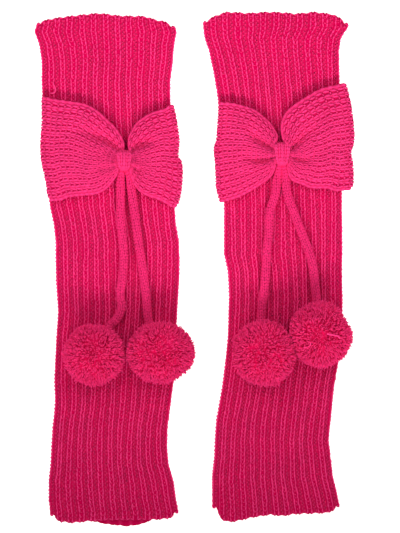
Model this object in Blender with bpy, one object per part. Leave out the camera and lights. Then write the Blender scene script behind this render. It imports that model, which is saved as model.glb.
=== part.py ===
"""Pair of knitted leg warmers, laid flat side by side.

Each leg warmer is a ribbed tube with a looped bow near its top, a knot round the bow's waist and two
knitted ties that end in pompoms. Lengths here are in millimetres and become metres as they are built.
X runs across the pair, +Y up the legs to their tops, and +Z up from the surface that they lie on.
"""

import math
import random

import bmesh
import bpy
from mathutils import Euler, Matrix, Vector

MM = 0.001
COLLECTION_NAME = "leg_warmers"

# Cloth thicknesses and the gap that pieces keep at a seam
LEG_CLOTH = 2.2
BOW_CLOTH = 2.2
KNOT_CLOTH = 2.2
KNOT_SIDE_CLOTH = 1.3
SEAM_GAP = 0.3

# Ribbed leg: its layers, its ribs and the levels of its rings
LEG_LAYER_GAP = 0.8
RIB_RELIEF = 1.4
RIBS_ACROSS = 11
RIB_CREST_HALF = 0.24
RIB_FOOT_HALF = 0.39
HEM_LEVEL = 198.0
HEM_FADE_START = 150.0
RING_LEVELS_NEAR_HEM = (198.0, 190.0, 178.0)
MIDDLE_RING_STEPS = 15
HEM_SCALLOP = 1.0
UNDERSIDE_POINTS = 8
INNER_POINTS = 6
FOLD_ANGLES = (-45.0, 0.0, 45.0)

VALLEY_TOP = 2 * LEG_CLOTH + LEG_LAYER_GAP
CREST_TOP = VALLEY_TOP + RIB_RELIEF
FOLD_RADIUS = VALLEY_TOP / 2
REST_LEVEL = CREST_TOP + SEAM_GAP

LEG_EDGES = {
    # y, left edge, right edge
    "left": (
        (-194, -115.0, -12.0),
        (-185, -116.0, -14.0),
        (-170, -116.0, -16.0),
        (-156, -114.5, -20.0),
        (-142, -114.0, -21.0),
        (-127, -113.0, -20.5),
        (-108, -111.0, -18.0),
        (-89, -111.5, -15.5),
        (-57, -110.0, -14.5),
        (-34, -108.5, -13.0),
        (-12, -110.0, -11.5),
        (7, -110.5, -11.0),
        (22, -110.5, -11.5),
        (36, -112.0, -14.0),
        (50, -115.0, -15.0),
        (71, -117.5, -15.0),
        (119, -120.5, -18.0),
        (150, -121.5, -18.5),
        (166, -121.5, -16.5),
        (180, -123.5, -15.5),
        (190, -127.5, -13.5),
    ),
    "right": (
        (-194, 15.0, 118.0),
        (-180, 15.0, 115.0),
        (-166, 15.0, 111.5),
        (-151, 16.5, 110.0),
        (-137, 17.0, 108.5),
        (-122, 18.0, 110.0),
        (-108, 20.5, 111.5),
        (-94, 23.0, 113.0),
        (-79, 25.0, 115.5),
        (-55, 27.5, 119.0),
        (-22, 28.5, 119.5),
        (-2, 27.5, 119.0),
        (12, 24.5, 119.5),
        (50, 24.5, 119.0),
        (95, 23.0, 118.5),
        (137, 19.5, 117.5),
        (156, 16.5, 117.0),
        (175, 12.5, 116.5),
        (185, 9.0, 118.0),
        (194, 7.5, 124.0),
    ),
}

HEMS = {
    # share of the way across, y of the top hem, y of the bottom hem
    "left": (
        (0.00, 191.0, -196.0),
        (0.05, 197.0, -201.0),
        (0.15, 200.0, -202.0),
        (0.30, 202.0, -200.5),
        (0.45, 203.5, -199.5),
        (0.60, 201.5, -199.5),
        (0.80, 201.0, -199.5),
        (0.90, 198.0, -199.0),
        (0.96, 196.4, -198.0),
        (1.00, 191.0, -194.0),
    ),
    "right": (
        (0.00, 194.5, -190.0),
        (0.04, 198.5, -199.0),
        (0.08, 200.0, -201.0),
        (0.15, 204.5, -201.0),
        (0.30, 203.5, -197.5),
        (0.45, 204.5, -195.5),
        (0.55, 204.0, -196.5),
        (0.65, 203.0, -195.0),
        (0.78, 204.5, -194.5),
        (0.92, 202.0, -194.0),
        (1.00, 194.5, -189.0),
    ),
}

# How far the under layer of the left leg hangs out below its upper layer at the bottom hem
UNDER_HEM_DROP = {
    # share of the way across, drop
    "left": ((0.30, 0.0), (0.45, 4.0), (0.60, 5.5), (0.72, 4.0), (0.82, 0.0)),
    "right": ((0.0, 0.0), (1.0, 0.0)),
}

# Bow: a band looped into a front and a back layer, gathered at the knot
BOW_SLIT = 0.5
BOW_CENTRES = {"left": (-55.2, 86.8), "right": (70.8, 92.0)}
KNOT_HALF = {"left": (5.6, 7.2), "right": (6.0, 8.4)}
WAIST_LIFT = KNOT_CLOTH + SEAM_GAP
SELVEDGE_SHARES = (0.0, 0.06, 0.16, 0.26, 0.35, 0.44, 0.54, 0.64, 0.73, 0.82, 0.93, 1.0)
CREASE_HALF_WIDTH = 0.085
END_STATION = 7
BACK_STATIONS = (7, 5, 3, 1)
INNER_BACK_STATIONS = (5, 3, 1)

BOW_LOBES = {
    # outward x of the top edge, top y, outward x half way, outward x of the bottom edge, bottom y;
    # from the knot to the lobe's end, about the knot's centre
    ("left", -1): (
        (5.4, 5.6, 6.2, 6.6, -5.6),
        (6.9, 17.0, 8.2, 8.0, -10.0),
        (9.5, 28.0, 12.5, 11.5, -18.5),
        (20.5, 38.5, 21.0, 21.0, -26.0),
        (36.0, 46.0, 36.0, 36.0, -28.5),
        (52.0, 48.5, 52.0, 50.0, -31.0),
        (65.5, 50.0, 66.5, 59.0, -32.0),
    ),
    ("left", 1): (
        (5.4, 5.6, 6.2, 6.6, -5.6),
        (6.9, 18.0, 8.2, 8.0, -12.0),
        (10.0, 29.0, 12.0, 11.0, -22.0),
        (18.5, 36.0, 19.0, 18.5, -28.0),
        (27.0, 39.5, 28.0, 27.0, -31.0),
        (34.0, 41.5, 36.0, 34.5, -33.5),
        (40.0, 44.0, 44.5, 41.5, -37.0),
    ),
    ("right", -1): (
        (5.8, 6.8, 6.6, 6.9, -6.8),
        (7.2, 17.0, 8.6, 8.4, -13.0),
        (11.0, 26.0, 13.0, 12.5, -21.0),
        (20.0, 33.5, 21.0, 20.0, -26.5),
        (31.0, 38.0, 32.0, 30.5, -32.0),
        (41.5, 40.5, 43.0, 40.5, -36.0),
        (50.0, 41.0, 53.3, 49.0, -38.0),
    ),
    ("right", 1): (
        (5.8, 6.8, 6.6, 6.9, -6.8),
        (7.2, 22.0, 9.0, 8.4, -15.0),
        (9.5, 35.5, 12.5, 12.0, -22.5),
        (19.0, 44.5, 21.0, 21.0, -26.5),
        (31.0, 50.5, 33.0, 33.0, -27.5),
        (42.0, 54.5, 45.0, 45.0, -29.5),
        (51.0, 56.0, 57.3, 54.5, -28.0),
    ),
}

BOW_STATIONS = (
    # lift of the back layer, most room between the layers, depth of the creases as a share of it
    (WAIST_LIFT, 1.6, 0.8),
    (WAIST_LIFT, 1.8, 0.9),
    (1.3, 6.0, 0.95),
    (0.0, 8.5, 0.85),
    (0.0, 8.0, 0.7),
    (0.0, 6.5, 0.6),
    (0.0, 4.5, 0.3),
    (0.0, 2.0, 0.0),
)

BOW_CREASES = {
    # where each crease lies between the bottom and top edges, how deep it is against the full depth
    ("left", -1): ((0.34, 0.5), (0.67, 1.0)),
    ("left", 1): ((0.29, 0.6), (0.67, 1.0)),
    ("right", -1): ((0.36, 1.0), (0.70, 0.8)),
    ("right", 1): ((0.33, 0.7), (0.64, 1.0)),
}

# Knot: a band round the bow's waist
KNOT_STATIONS = (
    # share of the half width, how far the front is rounded down
    (-1.0, 0.9),
    (-0.8, 0.2),
    (0.0, 0.0),
    (0.8, 0.2),
    (1.0, 0.9),
)
KNOT_TAPER = 0.2
KNOT_CHAMFER = 0.8

# Ties, each from the knot to its pompom, and the pompoms
TIE_DIAMETER = 6.4
TIE_LEVEL = REST_LEVEL + TIE_DIAMETER / 2
TIE_POINT_SPACING = 2.2 * TIE_DIAMETER
TIE_SMOOTH_STEPS = 8

TIE_ROUTES = {
    # x, y
    "left_tie_outer": (
        (-58.6, 79.3),
        (-58.2, 71.2),
        (-58.2, 59.2),
        (-58.2, 42.4),
        (-56.8, 25.6),
        (-55.6, 9.6),
        (-56.8, -7.2),
        (-58.5, -19.7),
        (-57.5, -30.4),
        (-61.0, -39.2),
        (-67.2, -45.6),
        (-70.1, -51.1),
    ),
    "left_tie_inner": (
        (-51.8, 79.3),
        (-50.6, 71.2),
        (-48.6, 56.0),
        (-46.2, 38.4),
        (-43.8, 20.3),
        (-41.2, 4.0),
        (-39.4, -10.0),
        (-37.5, -25.2),
        (-36.2, -40.3),
        (-33.8, -48.6),
    ),
    "right_tie_inner": (
        (67.4, 83.3),
        (66.8, 72.0),
        (65.4, 60.0),
        (61.5, 47.2),
        (60.4, 31.2),
        (58.8, 15.2),
        (57.8, -1.1),
        (56.6, -15.0),
        (55.0, -27.8),
        (54.0, -38.4),
        (54.6, -47.0),
    ),
    "right_tie_outer": (
        (74.2, 83.3),
        (73.8, 72.0),
        (75.0, 60.0),
        (79.6, 47.2),
        (84.4, 34.4),
        (89.8, 20.3),
        (94.2, 7.5),
        (96.3, -5.4),
        (97.4, -16.0),
        (98.2, -24.8),
        (98.7, -32.6),
    ),
}

POMPOMS = {
    # x, y, half width, half length
    "left_pompom_outer": (-78.8, -68.0, 24.8, 24.4),
    "left_pompom_inner": (-26.2, -66.0, 27.0, 24.4),
    "right_pompom_inner": (56.0, -66.4, 25.6, 26.0),
    "right_pompom_outer": (100.8, -52.0, 25.6, 26.0),
}
TOUCHING_POMPOMS = (
    ("left_pompom_outer", "left_pompom_inner"),
    ("right_pompom_inner", "right_pompom_outer"),
)
POMPOM_HALF_HEIGHT = 21.5
LOCKS_PER_EDGE = 3
POMPOM_CORE_SHARE = 0.62
LOCK_ROOT_GAP = 0.055
LOCK_SHOULDER_SHARE = 0.95
LOCK_SHOULDER_SCALE = 1.05
LOCK_LENGTH_VARIATION = 0.04
POMPOM_SEED = 7

YARN_COLOURS = {
    # red, green, blue in linear light, roughness
    "leg": ((0.78, 0.012, 0.125), 0.90),
    "bow": ((0.80, 0.014, 0.130), 0.88),
    "knot": ((0.82, 0.016, 0.135), 0.88),
    "tie": ((0.76, 0.012, 0.120), 0.90),
    "pompom": ((0.74, 0.014, 0.130), 0.95),
}


def read(table, at, column):
    """The value in a column of a table, between its rows, by the rising values in its first column."""
    if at <= table[0][0]:
        return table[0][column]
    for low, high in zip(table, table[1:]):
        if at <= high[0]:
            share = (at - low[0]) / (high[0] - low[0])
            return low[column] + share * (high[column] - low[column])
    return table[-1][column]


def eased(share):
    """A share from 0 to 1 that leaves both of its ends gently."""
    share = min(1.0, max(0.0, share))
    return share * share * (3 - 2 * share)


def yarn(name):
    """The matt dyed yarn of one piece, by the second word of the piece's name."""
    kind = name.split("_")[1]
    colour, roughness = YARN_COLOURS[kind]
    material = bpy.data.materials.new(name + "_yarn")
    material.use_nodes = True
    shader = material.node_tree.nodes["Principled BSDF"]
    shader.inputs["Base Color"].default_value = (*colour, 1.0)
    shader.inputs["Roughness"].default_value = roughness
    shader.inputs["Metallic"].default_value = 0.0
    return material


def add_object(name, data, collection):
    """A piece in the collection, with its own yarn."""
    piece = bpy.data.objects.new(name, data)
    data.materials.append(yarn(name))
    collection.objects.link(piece)
    return piece


def skin(bm, low, high):
    """Faces between two rings with the same number of points."""
    count = len(low)
    for i in range(count):
        j = (i + 1) % count
        bm.faces.new((low[i], low[j], high[j], high[i]))


def rim(bm, outer, outer_marks, inner, inner_marks):
    """Triangles between an outer and an inner ring, always stepping to the mark that comes first."""
    next_outer = [*outer_marks[1:], 1 + outer_marks[0]]
    next_inner = [*inner_marks[1:], 1 + inner_marks[0]]
    i = j = 0
    while i < len(outer) or j < len(inner):
        a = outer[i % len(outer)]
        b = inner[j % len(inner)]
        if j == len(inner) or (i < len(outer) and next_outer[i] <= next_inner[j]):
            i += 1
            bm.faces.new((a, b, outer[i % len(outer)]))
        else:
            j += 1
            bm.faces.new((a, b, inner[j % len(inner)]))


def add_wall(name, outer_rings, inner_rings, collection):
    """A closed wall between two stacks of rings. A ring is a list of (mark, point), marks from 0 to 1."""
    bm = bmesh.new()
    stacks = []
    for rings in (outer_rings, inner_rings):
        stack = [[bm.verts.new(Vector(point) * MM) for _, point in ring] for ring in rings]
        for low, high in zip(stack, stack[1:]):
            skin(bm, low, high)
        stacks.append(stack)
    outer_marks, inner_marks = ([mark for mark, _ in rings[0]] for rings in (outer_rings, inner_rings))
    for end in (0, -1):
        rim(bm, stacks[0][end], outer_marks, stacks[1][end], inner_marks)
    bmesh.ops.recalc_face_normals(bm, faces=bm.faces)
    mesh = bpy.data.meshes.new(name)
    bm.to_mesh(mesh)
    bm.free()
    mesh.shade_smooth()
    mesh.set_sharp_from_angle(angle=math.radians(40))
    return add_object(name, mesh, collection)


def leg_levels():
    """The levels of a leg's rings, close together at the hems."""
    inner = RING_LEVELS_NEAR_HEM[-1]
    middle = [inner * (2 * n / MIDDLE_RING_STEPS - 1) for n in range(MIDDLE_RING_STEPS + 1)]
    near = list(RING_LEVELS_NEAR_HEM[:-1])
    return [-level for level in near] + middle + near[::-1]


def leg_point(side, level, across, z, under, crest=False):
    """A point of a leg: how far across it lies, its height, and whether it is in the under layer."""
    hem_column = 1 if level > 0 else 2
    fade = eased((abs(level) - HEM_FADE_START) / (HEM_LEVEL - HEM_FADE_START))
    hem = read(HEMS[side], across, hem_column)
    if under and level < 0:
        hem -= read(UNDER_HEM_DROP[side], across, 1)
    y = level + fade * (hem - math.copysign(HEM_LEVEL, level))
    if crest and abs(level) == HEM_LEVEL:
        y += math.copysign(HEM_SCALLOP, level)
    left = read(LEG_EDGES[side], y, 1)
    right = read(LEG_EDGES[side], y, 2)
    return Vector((left + across * (right - left), y, z))


def leg_fold(side, level, radius, angle, right_side):
    """A point of the rounded fold at one side of a leg."""
    point = leg_point(side, level, 1.0 if right_side else 0.0, 0.0, angle < 0)
    reach = radius * (math.cos(math.radians(angle)) - 1)
    point.x += reach if right_side else -reach
    point.z = FOLD_RADIUS + radius * math.sin(math.radians(angle))
    return point


def outer_leg_ring(side, level):
    """The outside of a leg: underside, right fold, ribs and valleys, left fold."""
    width = leg_point(side, level, 1.0, 0.0, False).x - leg_point(side, level, 0.0, 0.0, False).x
    inset = FOLD_RADIUS / width
    ring = []
    for n in range(UNDERSIDE_POINTS):
        share = n / (UNDERSIDE_POINTS - 1)
        across = inset + share * (1 - 2 * inset)
        ring.append((0.4 * share, leg_point(side, level, across, 0.0, True)))
    for n, angle in enumerate(FOLD_ANGLES):
        ring.append((0.42 + 0.03 * n, leg_fold(side, level, FOLD_RADIUS, angle, True)))
    steps = (
        (RIB_FOOT_HALF, VALLEY_TOP),
        (RIB_CREST_HALF, CREST_TOP),
        (-RIB_CREST_HALF, CREST_TOP),
        (-RIB_FOOT_HALF, VALLEY_TOP),
    )
    for rib in reversed(range(RIBS_ACROSS)):
        for offset, z in steps:
            share = (rib + 0.5 + offset) / RIBS_ACROSS
            across = inset + share * (1 - 2 * inset)
            point = leg_point(side, level, across, z, False, crest=z == CREST_TOP)
            ring.append((0.5 + 0.4 * (1 - share), point))
    for n, angle in enumerate(reversed(FOLD_ANGLES)):
        ring.append((0.92 + 0.03 * n, leg_fold(side, level, FOLD_RADIUS, angle, False)))
    return ring


def inner_leg_ring(side, level):
    """The plain inside of a leg, a thin slit between its layers."""
    width = leg_point(side, level, 1.0, 0.0, False).x - leg_point(side, level, 0.0, 0.0, False).x
    inset = FOLD_RADIUS / width
    tip = FOLD_RADIUS - LEG_CLOTH
    shares = [n / (INNER_POINTS - 1) for n in range(INNER_POINTS)]
    ring = []
    for share in shares:
        across = inset + share * (1 - 2 * inset)
        ring.append((0.4 * share, leg_point(side, level, across, LEG_CLOTH, True)))
    ring.append((0.45, leg_fold(side, level, tip, 0.0, True) - Vector((LEG_CLOTH, 0, 0))))
    for share in reversed(shares):
        across = inset + share * (1 - 2 * inset)
        z = LEG_CLOTH + LEG_LAYER_GAP
        ring.append((0.5 + 0.4 * (1 - share), leg_point(side, level, across, z, False)))
    ring.append((0.95, leg_fold(side, level, tip, 0.0, False) + Vector((LEG_CLOTH, 0, 0))))
    return ring


def add_leg(side, collection):
    """The ribbed tube of one leg, flattened to two layers."""
    levels = leg_levels()
    outer = [outer_leg_ring(side, level) for level in levels]
    inner = [inner_leg_ring(side, level) for level in levels]
    add_wall(side + "_leg", outer, inner, collection)


def bow_place(side, hand, station, share):
    """Where a station of a lobe lies at a share of the way from its bottom to its top edge."""
    centre_x, centre_y = BOW_CENTRES[side]
    if station == 0:
        half = KNOT_HALF[side][1] - KNOT_SIDE_CLOTH - SEAM_GAP
        return centre_x, centre_y + half * (2 * share - 1)
    top_x, top_y, middle_x, bottom_x, bottom_y = BOW_LOBES[side, hand][station - 1]
    outward = (
        bottom_x * (2 * share - 1) * (share - 1)
        + middle_x * 4 * share * (1 - share)
        + top_x * share * (2 * share - 1)
    )
    return centre_x + hand * outward, centre_y + bottom_y + share * (top_y - bottom_y)


def bow_levels(side, hand, station, share):
    """The heights of the back layer's two faces and the front layer's two faces."""
    lift, room, crease_depth = BOW_STATIONS[station]
    swell = (4 * share * (1 - share)) ** 0.4
    hands = (hand,) if station else (-1, 1)
    for crease_hand in hands:
        for place, depth in BOW_CREASES[side, crease_hand]:
            near = math.exp(-(((share - place) / CREASE_HALF_WIDTH) ** 2))
            swell *= 1 - near * depth * crease_depth / len(hands)
    back_low = REST_LEVEL + lift
    back_high = back_low + BOW_CLOTH
    front_low = back_high + BOW_SLIT + room * swell
    return back_low, back_high, front_low, front_low + BOW_CLOTH


def signed_stations(stations):
    """Stations with their hand, from the left end over the waist to the right end."""
    return [(-1, n) for n in stations] + [(1, 0)] + [(1, n) for n in reversed(stations)]


def station_mark(hand, station):
    """Where a station lies between the ends of the bow, from 0 on the left to 1 on the right."""
    return 0.5 + hand * station / (2 * END_STATION)


def bow_end_points(side, hand, share):
    """The rounded end of the loop: its radius, its furthest x, its y and the height of its centre."""
    end_x, end_y = bow_place(side, hand, END_STATION, share)
    back_low, _, _, front_high = bow_levels(side, hand, END_STATION, share)
    return (front_high - back_low) / 2, end_x, end_y, (front_high + back_low) / 2


def outer_bow_ring(side, share):
    """The outside of the bow at a share of the way up: back layer, right end, front layer, left end."""
    ring = []
    for front in (False, True):
        stations = tuple(reversed(range(1, END_STATION + 1))) if front else BACK_STATIONS
        listed = signed_stations(stations)
        for hand, station in reversed(listed) if front else listed:
            x, y = bow_place(side, hand, station, share)
            z = bow_levels(side, hand, station, share)[3 if front else 0]
            if station == END_STATION:
                x -= hand * bow_end_points(side, hand, share)[0]
            along = station_mark(hand, station)
            ring.append((0.5 + 0.4 * (1 - along) if front else 0.4 * along, Vector((x, y, z))))
        hand = -1 if front else 1
        radius, end_x, end_y, centre_z = bow_end_points(side, hand, share)
        for n, angle in enumerate(FOLD_ANGLES):
            x = end_x + hand * radius * (math.cos(math.radians(angle)) - 1)
            z = centre_z + hand * radius * math.sin(math.radians(angle))
            ring.append(((0.92 if front else 0.42) + 0.03 * n, Vector((x, end_y, z))))
    return ring


def inner_bow_ring(side, share):
    """The plain inside of the bow, between its layers."""
    ring = []
    for front in (False, True):
        stations = tuple(reversed(range(1, END_STATION))) if front else INNER_BACK_STATIONS
        listed = signed_stations(stations)
        for hand, station in reversed(listed) if front else listed:
            x, y = bow_place(side, hand, station, share)
            z = bow_levels(side, hand, station, share)[2 if front else 1]
            along = station_mark(hand, station)
            ring.append((0.5 + 0.4 * (1 - along) if front else 0.4 * along, Vector((x, y, z))))
        hand = -1 if front else 1
        _, end_x, end_y, centre_z = bow_end_points(side, hand, share)
        tip = Vector((end_x - hand * BOW_CLOTH, end_y, centre_z))
        ring.append((0.95 if front else 0.45, tip))
    return ring


def add_bow(side, collection):
    """The looped band of one bow."""
    outer = [outer_bow_ring(side, share) for share in SELVEDGE_SHARES]
    inner = [inner_bow_ring(side, share) for share in SELVEDGE_SHARES]
    add_wall(side + "_bow", outer, inner, collection)


def waist_top(side):
    """The highest point of the bow inside the knot."""
    heights = []
    for station in (0, 1):
        for hand in (-1, 1):
            heights += [bow_levels(side, hand, station, share)[3] for share in SELVEDGE_SHARES]
    return max(heights)


def add_knot(side, collection):
    """The band round the bow's waist."""
    centre_x, centre_y = BOW_CENTRES[side]
    half_width, half = KNOT_HALF[side]
    hole = half - KNOT_SIDE_CLOTH
    hole_low = REST_LEVEL + KNOT_CLOTH
    hole_high = waist_top(side) + SEAM_GAP
    front = hole_high + KNOT_CLOTH

    def loop(points, width_share):
        """A closed loop of points about the waist, narrower towards the knot's top and bottom."""
        ring = []
        for n, (y, z) in enumerate(points):
            x = width_share * half_width * (1 - KNOT_TAPER * (y / half) ** 2)
            ring.append((n / len(points), Vector((centre_x + x, centre_y + y, z))))
        return ring

    outer_rings = []
    inner_rings = []
    for width_share, rounding in KNOT_STATIONS:
        top = front - rounding
        outer = (
            (-half + KNOT_CHAMFER, REST_LEVEL),
            (half - KNOT_CHAMFER, REST_LEVEL),
            (half, REST_LEVEL + KNOT_CHAMFER),
            (half, top - 3 * KNOT_CHAMFER),
            (half - 2 * KNOT_CHAMFER, top - KNOT_CHAMFER),
            (half / 3, top),
            (-half / 3, top),
            (-half + 2 * KNOT_CHAMFER, top - KNOT_CHAMFER),
            (-half, top - 3 * KNOT_CHAMFER),
            (-half, REST_LEVEL + KNOT_CHAMFER),
        )
        inner = (
            (-hole, hole_low),
            (hole, hole_low),
            (hole, hole_high - KNOT_CHAMFER),
            (hole / 2, hole_high),
            (-hole / 2, hole_high),
            (-hole, hole_high - KNOT_CHAMFER),
        )
        outer_rings.append(loop(outer, width_share))
        inner_rings.append(loop(inner, width_share))
    add_wall(side + "_knot", outer_rings, inner_rings, collection)


def smooth_route(route):
    """Points close together on a smooth curve through a route's own points."""
    points = [Vector((x, y, TIE_LEVEL)) for x, y in route]
    padded = [2 * points[0] - points[1], *points, 2 * points[-1] - points[-2]]
    fine = []
    for a, b, c, d in zip(padded, padded[1:], padded[2:], padded[3:]):
        for n in range(TIE_SMOOTH_STEPS):
            t = n / TIE_SMOOTH_STEPS
            fine.append(
                0.5
                * (2 * b + (c - a) * t + (2 * a - 5 * b + 4 * c - d) * t**2 + (3 * b - a - 3 * c + d) * t**3)
            )
    return [*fine, points[-1]]


def evenly_spaced(points, spacing):
    """Points about a spacing apart along a line of close points."""
    along = [0.0]
    for a, b in zip(points, points[1:]):
        along.append(along[-1] + (b - a).length)
    table = [(s, *point) for s, point in zip(along, points)]
    count = round(along[-1] / spacing)
    marks = [along[-1] * n / count for n in range(count + 1)]
    return [Vector([read(table, mark, column) for column in (1, 2, 3)]) for mark in marks]


def add_tie(name, collection):
    """A knitted cord along its route."""
    points = evenly_spaced(smooth_route(TIE_ROUTES[name]), TIE_POINT_SPACING)
    curve = bpy.data.curves.new(name, "CURVE")
    curve.dimensions = "3D"
    curve.bevel_depth = TIE_DIAMETER / 2 * MM
    curve.bevel_resolution = 2
    curve.use_fill_caps = True
    spline = curve.splines.new("POLY")
    spline.points.add(len(points) - 1)
    for target, point in zip(spline.points, points):
        target.co = (*(point * MM), 1.0)
    add_object(name, curve, collection)


def round_ball(bm):
    """Turn a cube of even cells into a ball of cells that are about as wide as each other."""
    for vert in bm.verts:
        turned = Vector([math.tan(value * math.pi / 4) for value in vert.co])
        vert.co = turned.normalized()


def add_pompom(name, number, collection):
    """A ball of cut yarn: locks of four sides that stand on a round core."""
    dice = random.Random(POMPOM_SEED + number)
    bm = bmesh.new()
    bmesh.ops.create_cube(bm, size=2)
    bmesh.ops.subdivide_edges(bm, edges=bm.edges[:], cuts=LOCKS_PER_EDGE - 1, use_grid_fill=True)
    round_ball(bm)
    roots = bm.faces[:]
    bmesh.ops.inset_individual(bm, faces=roots, thickness=LOCK_ROOT_GAP, use_even_offset=True)
    for vert in bm.verts:
        vert.co = vert.co.normalized() * POMPOM_CORE_SHARE
    tips = bmesh.ops.extrude_discrete_faces(bm, faces=roots)["faces"]
    tip_lengths = []
    for face in tips:
        length = 1 - LOCK_LENGTH_VARIATION * dice.random()
        middle = face.calc_center_median().normalized()
        for vert in face.verts:
            way = vert.co.normalized()
            vert.co = (middle + (way - middle) * LOCK_SHOULDER_SCALE) * length * LOCK_SHOULDER_SHARE
        tip_lengths.append((middle, length))
    poked = bmesh.ops.poke(bm, faces=tips)["verts"]
    for vert, (middle, length) in zip(poked, tip_lengths):
        vert.co = middle * length
    turn = Euler([dice.uniform(0, math.tau) for _ in range(3)]).to_matrix().to_4x4()
    x, y, half_width, half_length = POMPOMS[name]
    size = Matrix.Diagonal((half_width, half_length, POMPOM_HALF_HEIGHT, 1.0))
    bmesh.ops.transform(bm, matrix=size @ turn, verts=bm.verts)
    lowest = min(vert.co.z for vert in bm.verts)
    bmesh.ops.translate(bm, vec=(x, y, REST_LEVEL - lowest), verts=bm.verts)
    press_against_neighbour(bm, name)
    bmesh.ops.scale(bm, vec=(MM, MM, MM), verts=bm.verts)
    bmesh.ops.recalc_face_normals(bm, faces=bm.faces)
    mesh = bpy.data.meshes.new(name)
    bm.to_mesh(mesh)
    bm.free()
    add_object(name, mesh, collection)


def press_against_neighbour(bm, name):
    """Push the tips back to the plane where this pompom touches the next one."""
    for pair in TOUCHING_POMPOMS:
        if name in pair:
            other = pair[1 - pair.index(name)]
            centre = Vector((*POMPOMS[name][:2], 0))
            towards = Vector((*POMPOMS[other][:2], 0)) - centre
            reach = towards.length * POMPOMS[name][2] / (POMPOMS[name][2] + POMPOMS[other][2]) - SEAM_GAP / 2
            towards.normalize()
            for vert in bm.verts:
                over = (vert.co - centre).dot(towards) - reach
                if over > 0:
                    vert.co -= towards * over


def build():
    """All the pieces, in a collection named for the pair."""
    for old in list(bpy.data.objects):
        bpy.data.objects.remove(old, do_unlink=True)
    collection = bpy.data.collections.new(COLLECTION_NAME)
    bpy.context.scene.collection.children.link(collection)
    for side in ("left", "right"):
        add_leg(side, collection)
        add_bow(side, collection)
        add_knot(side, collection)
    for name in TIE_ROUTES:
        add_tie(name, collection)
    for number, name in enumerate(POMPOMS):
        add_pompom(name, number, collection)


build()
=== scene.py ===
# %% [markdown]
# # A pair of knitted leg warmers
#
# The real thing is two ribbed tubes of chunky hot pink yarn, laid flat. Each has a looped bow near its
# top, a knot round the bow's waist, and two knitted ties that end in pompoms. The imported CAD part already
# holds every main form, so this script gives those forms their stitches, yarn and light.
#
# Everything is measured in the frame's metres. X runs across the pair, +Y up the legs, +Z off the table.

import math

import bmesh
import bpy
import numpy as np
from mathutils import Matrix, Vector


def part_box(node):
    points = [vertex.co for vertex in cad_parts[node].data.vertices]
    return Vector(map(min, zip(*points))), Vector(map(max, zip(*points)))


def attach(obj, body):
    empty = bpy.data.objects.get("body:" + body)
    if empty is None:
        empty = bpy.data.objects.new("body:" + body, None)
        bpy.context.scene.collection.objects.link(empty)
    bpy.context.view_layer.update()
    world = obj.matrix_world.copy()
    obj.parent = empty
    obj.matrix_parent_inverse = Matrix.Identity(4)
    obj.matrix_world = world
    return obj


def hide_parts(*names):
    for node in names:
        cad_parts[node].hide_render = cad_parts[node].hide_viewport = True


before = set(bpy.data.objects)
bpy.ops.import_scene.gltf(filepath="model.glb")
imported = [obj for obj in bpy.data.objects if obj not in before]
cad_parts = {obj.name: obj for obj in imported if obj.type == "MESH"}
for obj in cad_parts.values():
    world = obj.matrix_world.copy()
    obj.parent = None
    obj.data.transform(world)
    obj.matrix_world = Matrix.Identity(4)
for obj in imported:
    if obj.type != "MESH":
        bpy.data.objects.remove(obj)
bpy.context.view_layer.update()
MM = 0.001
dice = np.random.default_rng(11)

# %% [markdown]
# ## The camera
#
# The pair was photographed from straight above. A short lens close by would lean the pompoms outwards, so
# a long lens far away is used: heights then hardly change where a thing appears. The distance follows
# from the lens and from how much of the table the picture takes in along its long side.

# %% Camera straight above
LENS = 200.0
SENSOR = 36.0
PICTURE_LENGTH = 426.4 * MM
PICTURE_CENTRE = (5.2 * MM, 2.0 * MM)
CLOTH_TOP = 7.0 * MM

camera_data = bpy.data.cameras.new("overhead_camera")
camera_data.lens = LENS
camera_data.sensor_width = SENSOR
camera = bpy.data.objects.new("overhead_camera", camera_data)
camera.location = (*PICTURE_CENTRE, CLOTH_TOP + PICTURE_LENGTH * LENS / SENSOR)
bpy.context.scene.collection.objects.link(camera)
bpy.context.scene.camera = camera
bpy.context.scene.view_settings.view_transform = "Standard"
print("camera height in m:", round(camera.location.z, 3))

# %% [markdown]
# ## What the yarn is
#
# All the pieces are one dye lot of acrylic yarn, so they share their shading and differ in how the yarn
# is worked, and in a painted lightness for how lit each piece looks. Close up, the yarn shows plies
# twisted round each other, a fine fuzz, and shade deep between the stitches, which is painted into the
# colour as a darker pink. A photograph laid over the mesh could give that too, but it would not hold at
# another size, so it is built from nodes.
#
# Two node groups are shared. The first turns the plies' spiral and the fuzz into a height. The second
# mixes the dye from each stitch's own tone, and paints shade into it from how deep a point lies. Both
# values are attributes that the meshes carry.

# %% A group for the height of plies and fuzz
PLIES = 2.0
PLY_SHARE = 0.2
FUZZ_SHARE = 0.6
FUZZ_DETAIL = 3.0


def new_group(name, inputs, outputs):
    """An empty shader node group with named sockets. A socket is (name, kind, value)."""
    group = bpy.data.node_groups.new(name, "ShaderNodeTree")
    for direction, sockets in (("INPUT", inputs), ("OUTPUT", outputs)):
        for label, kind, value in sockets:
            socket = group.interface.new_socket(label, in_out=direction, socket_type="NodeSocket" + kind)
            if value is not None:
                socket.default_value = value
    group_in = group.nodes.new("NodeGroupInput")
    group_out = group.nodes.new("NodeGroupOutput")
    return group, group_in, group_out


def math_node(tree, operation, first, second):
    """A Math node; each of its two inputs is a number or another node's socket."""
    node = tree.nodes.new("ShaderNodeMath")
    node.operation = operation
    for socket, value in zip(node.inputs, (first, second)):
        if isinstance(value, (int, float)):
            socket.default_value = value
        else:
            tree.links.new(value, socket)
    return node.outputs[0]


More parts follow.
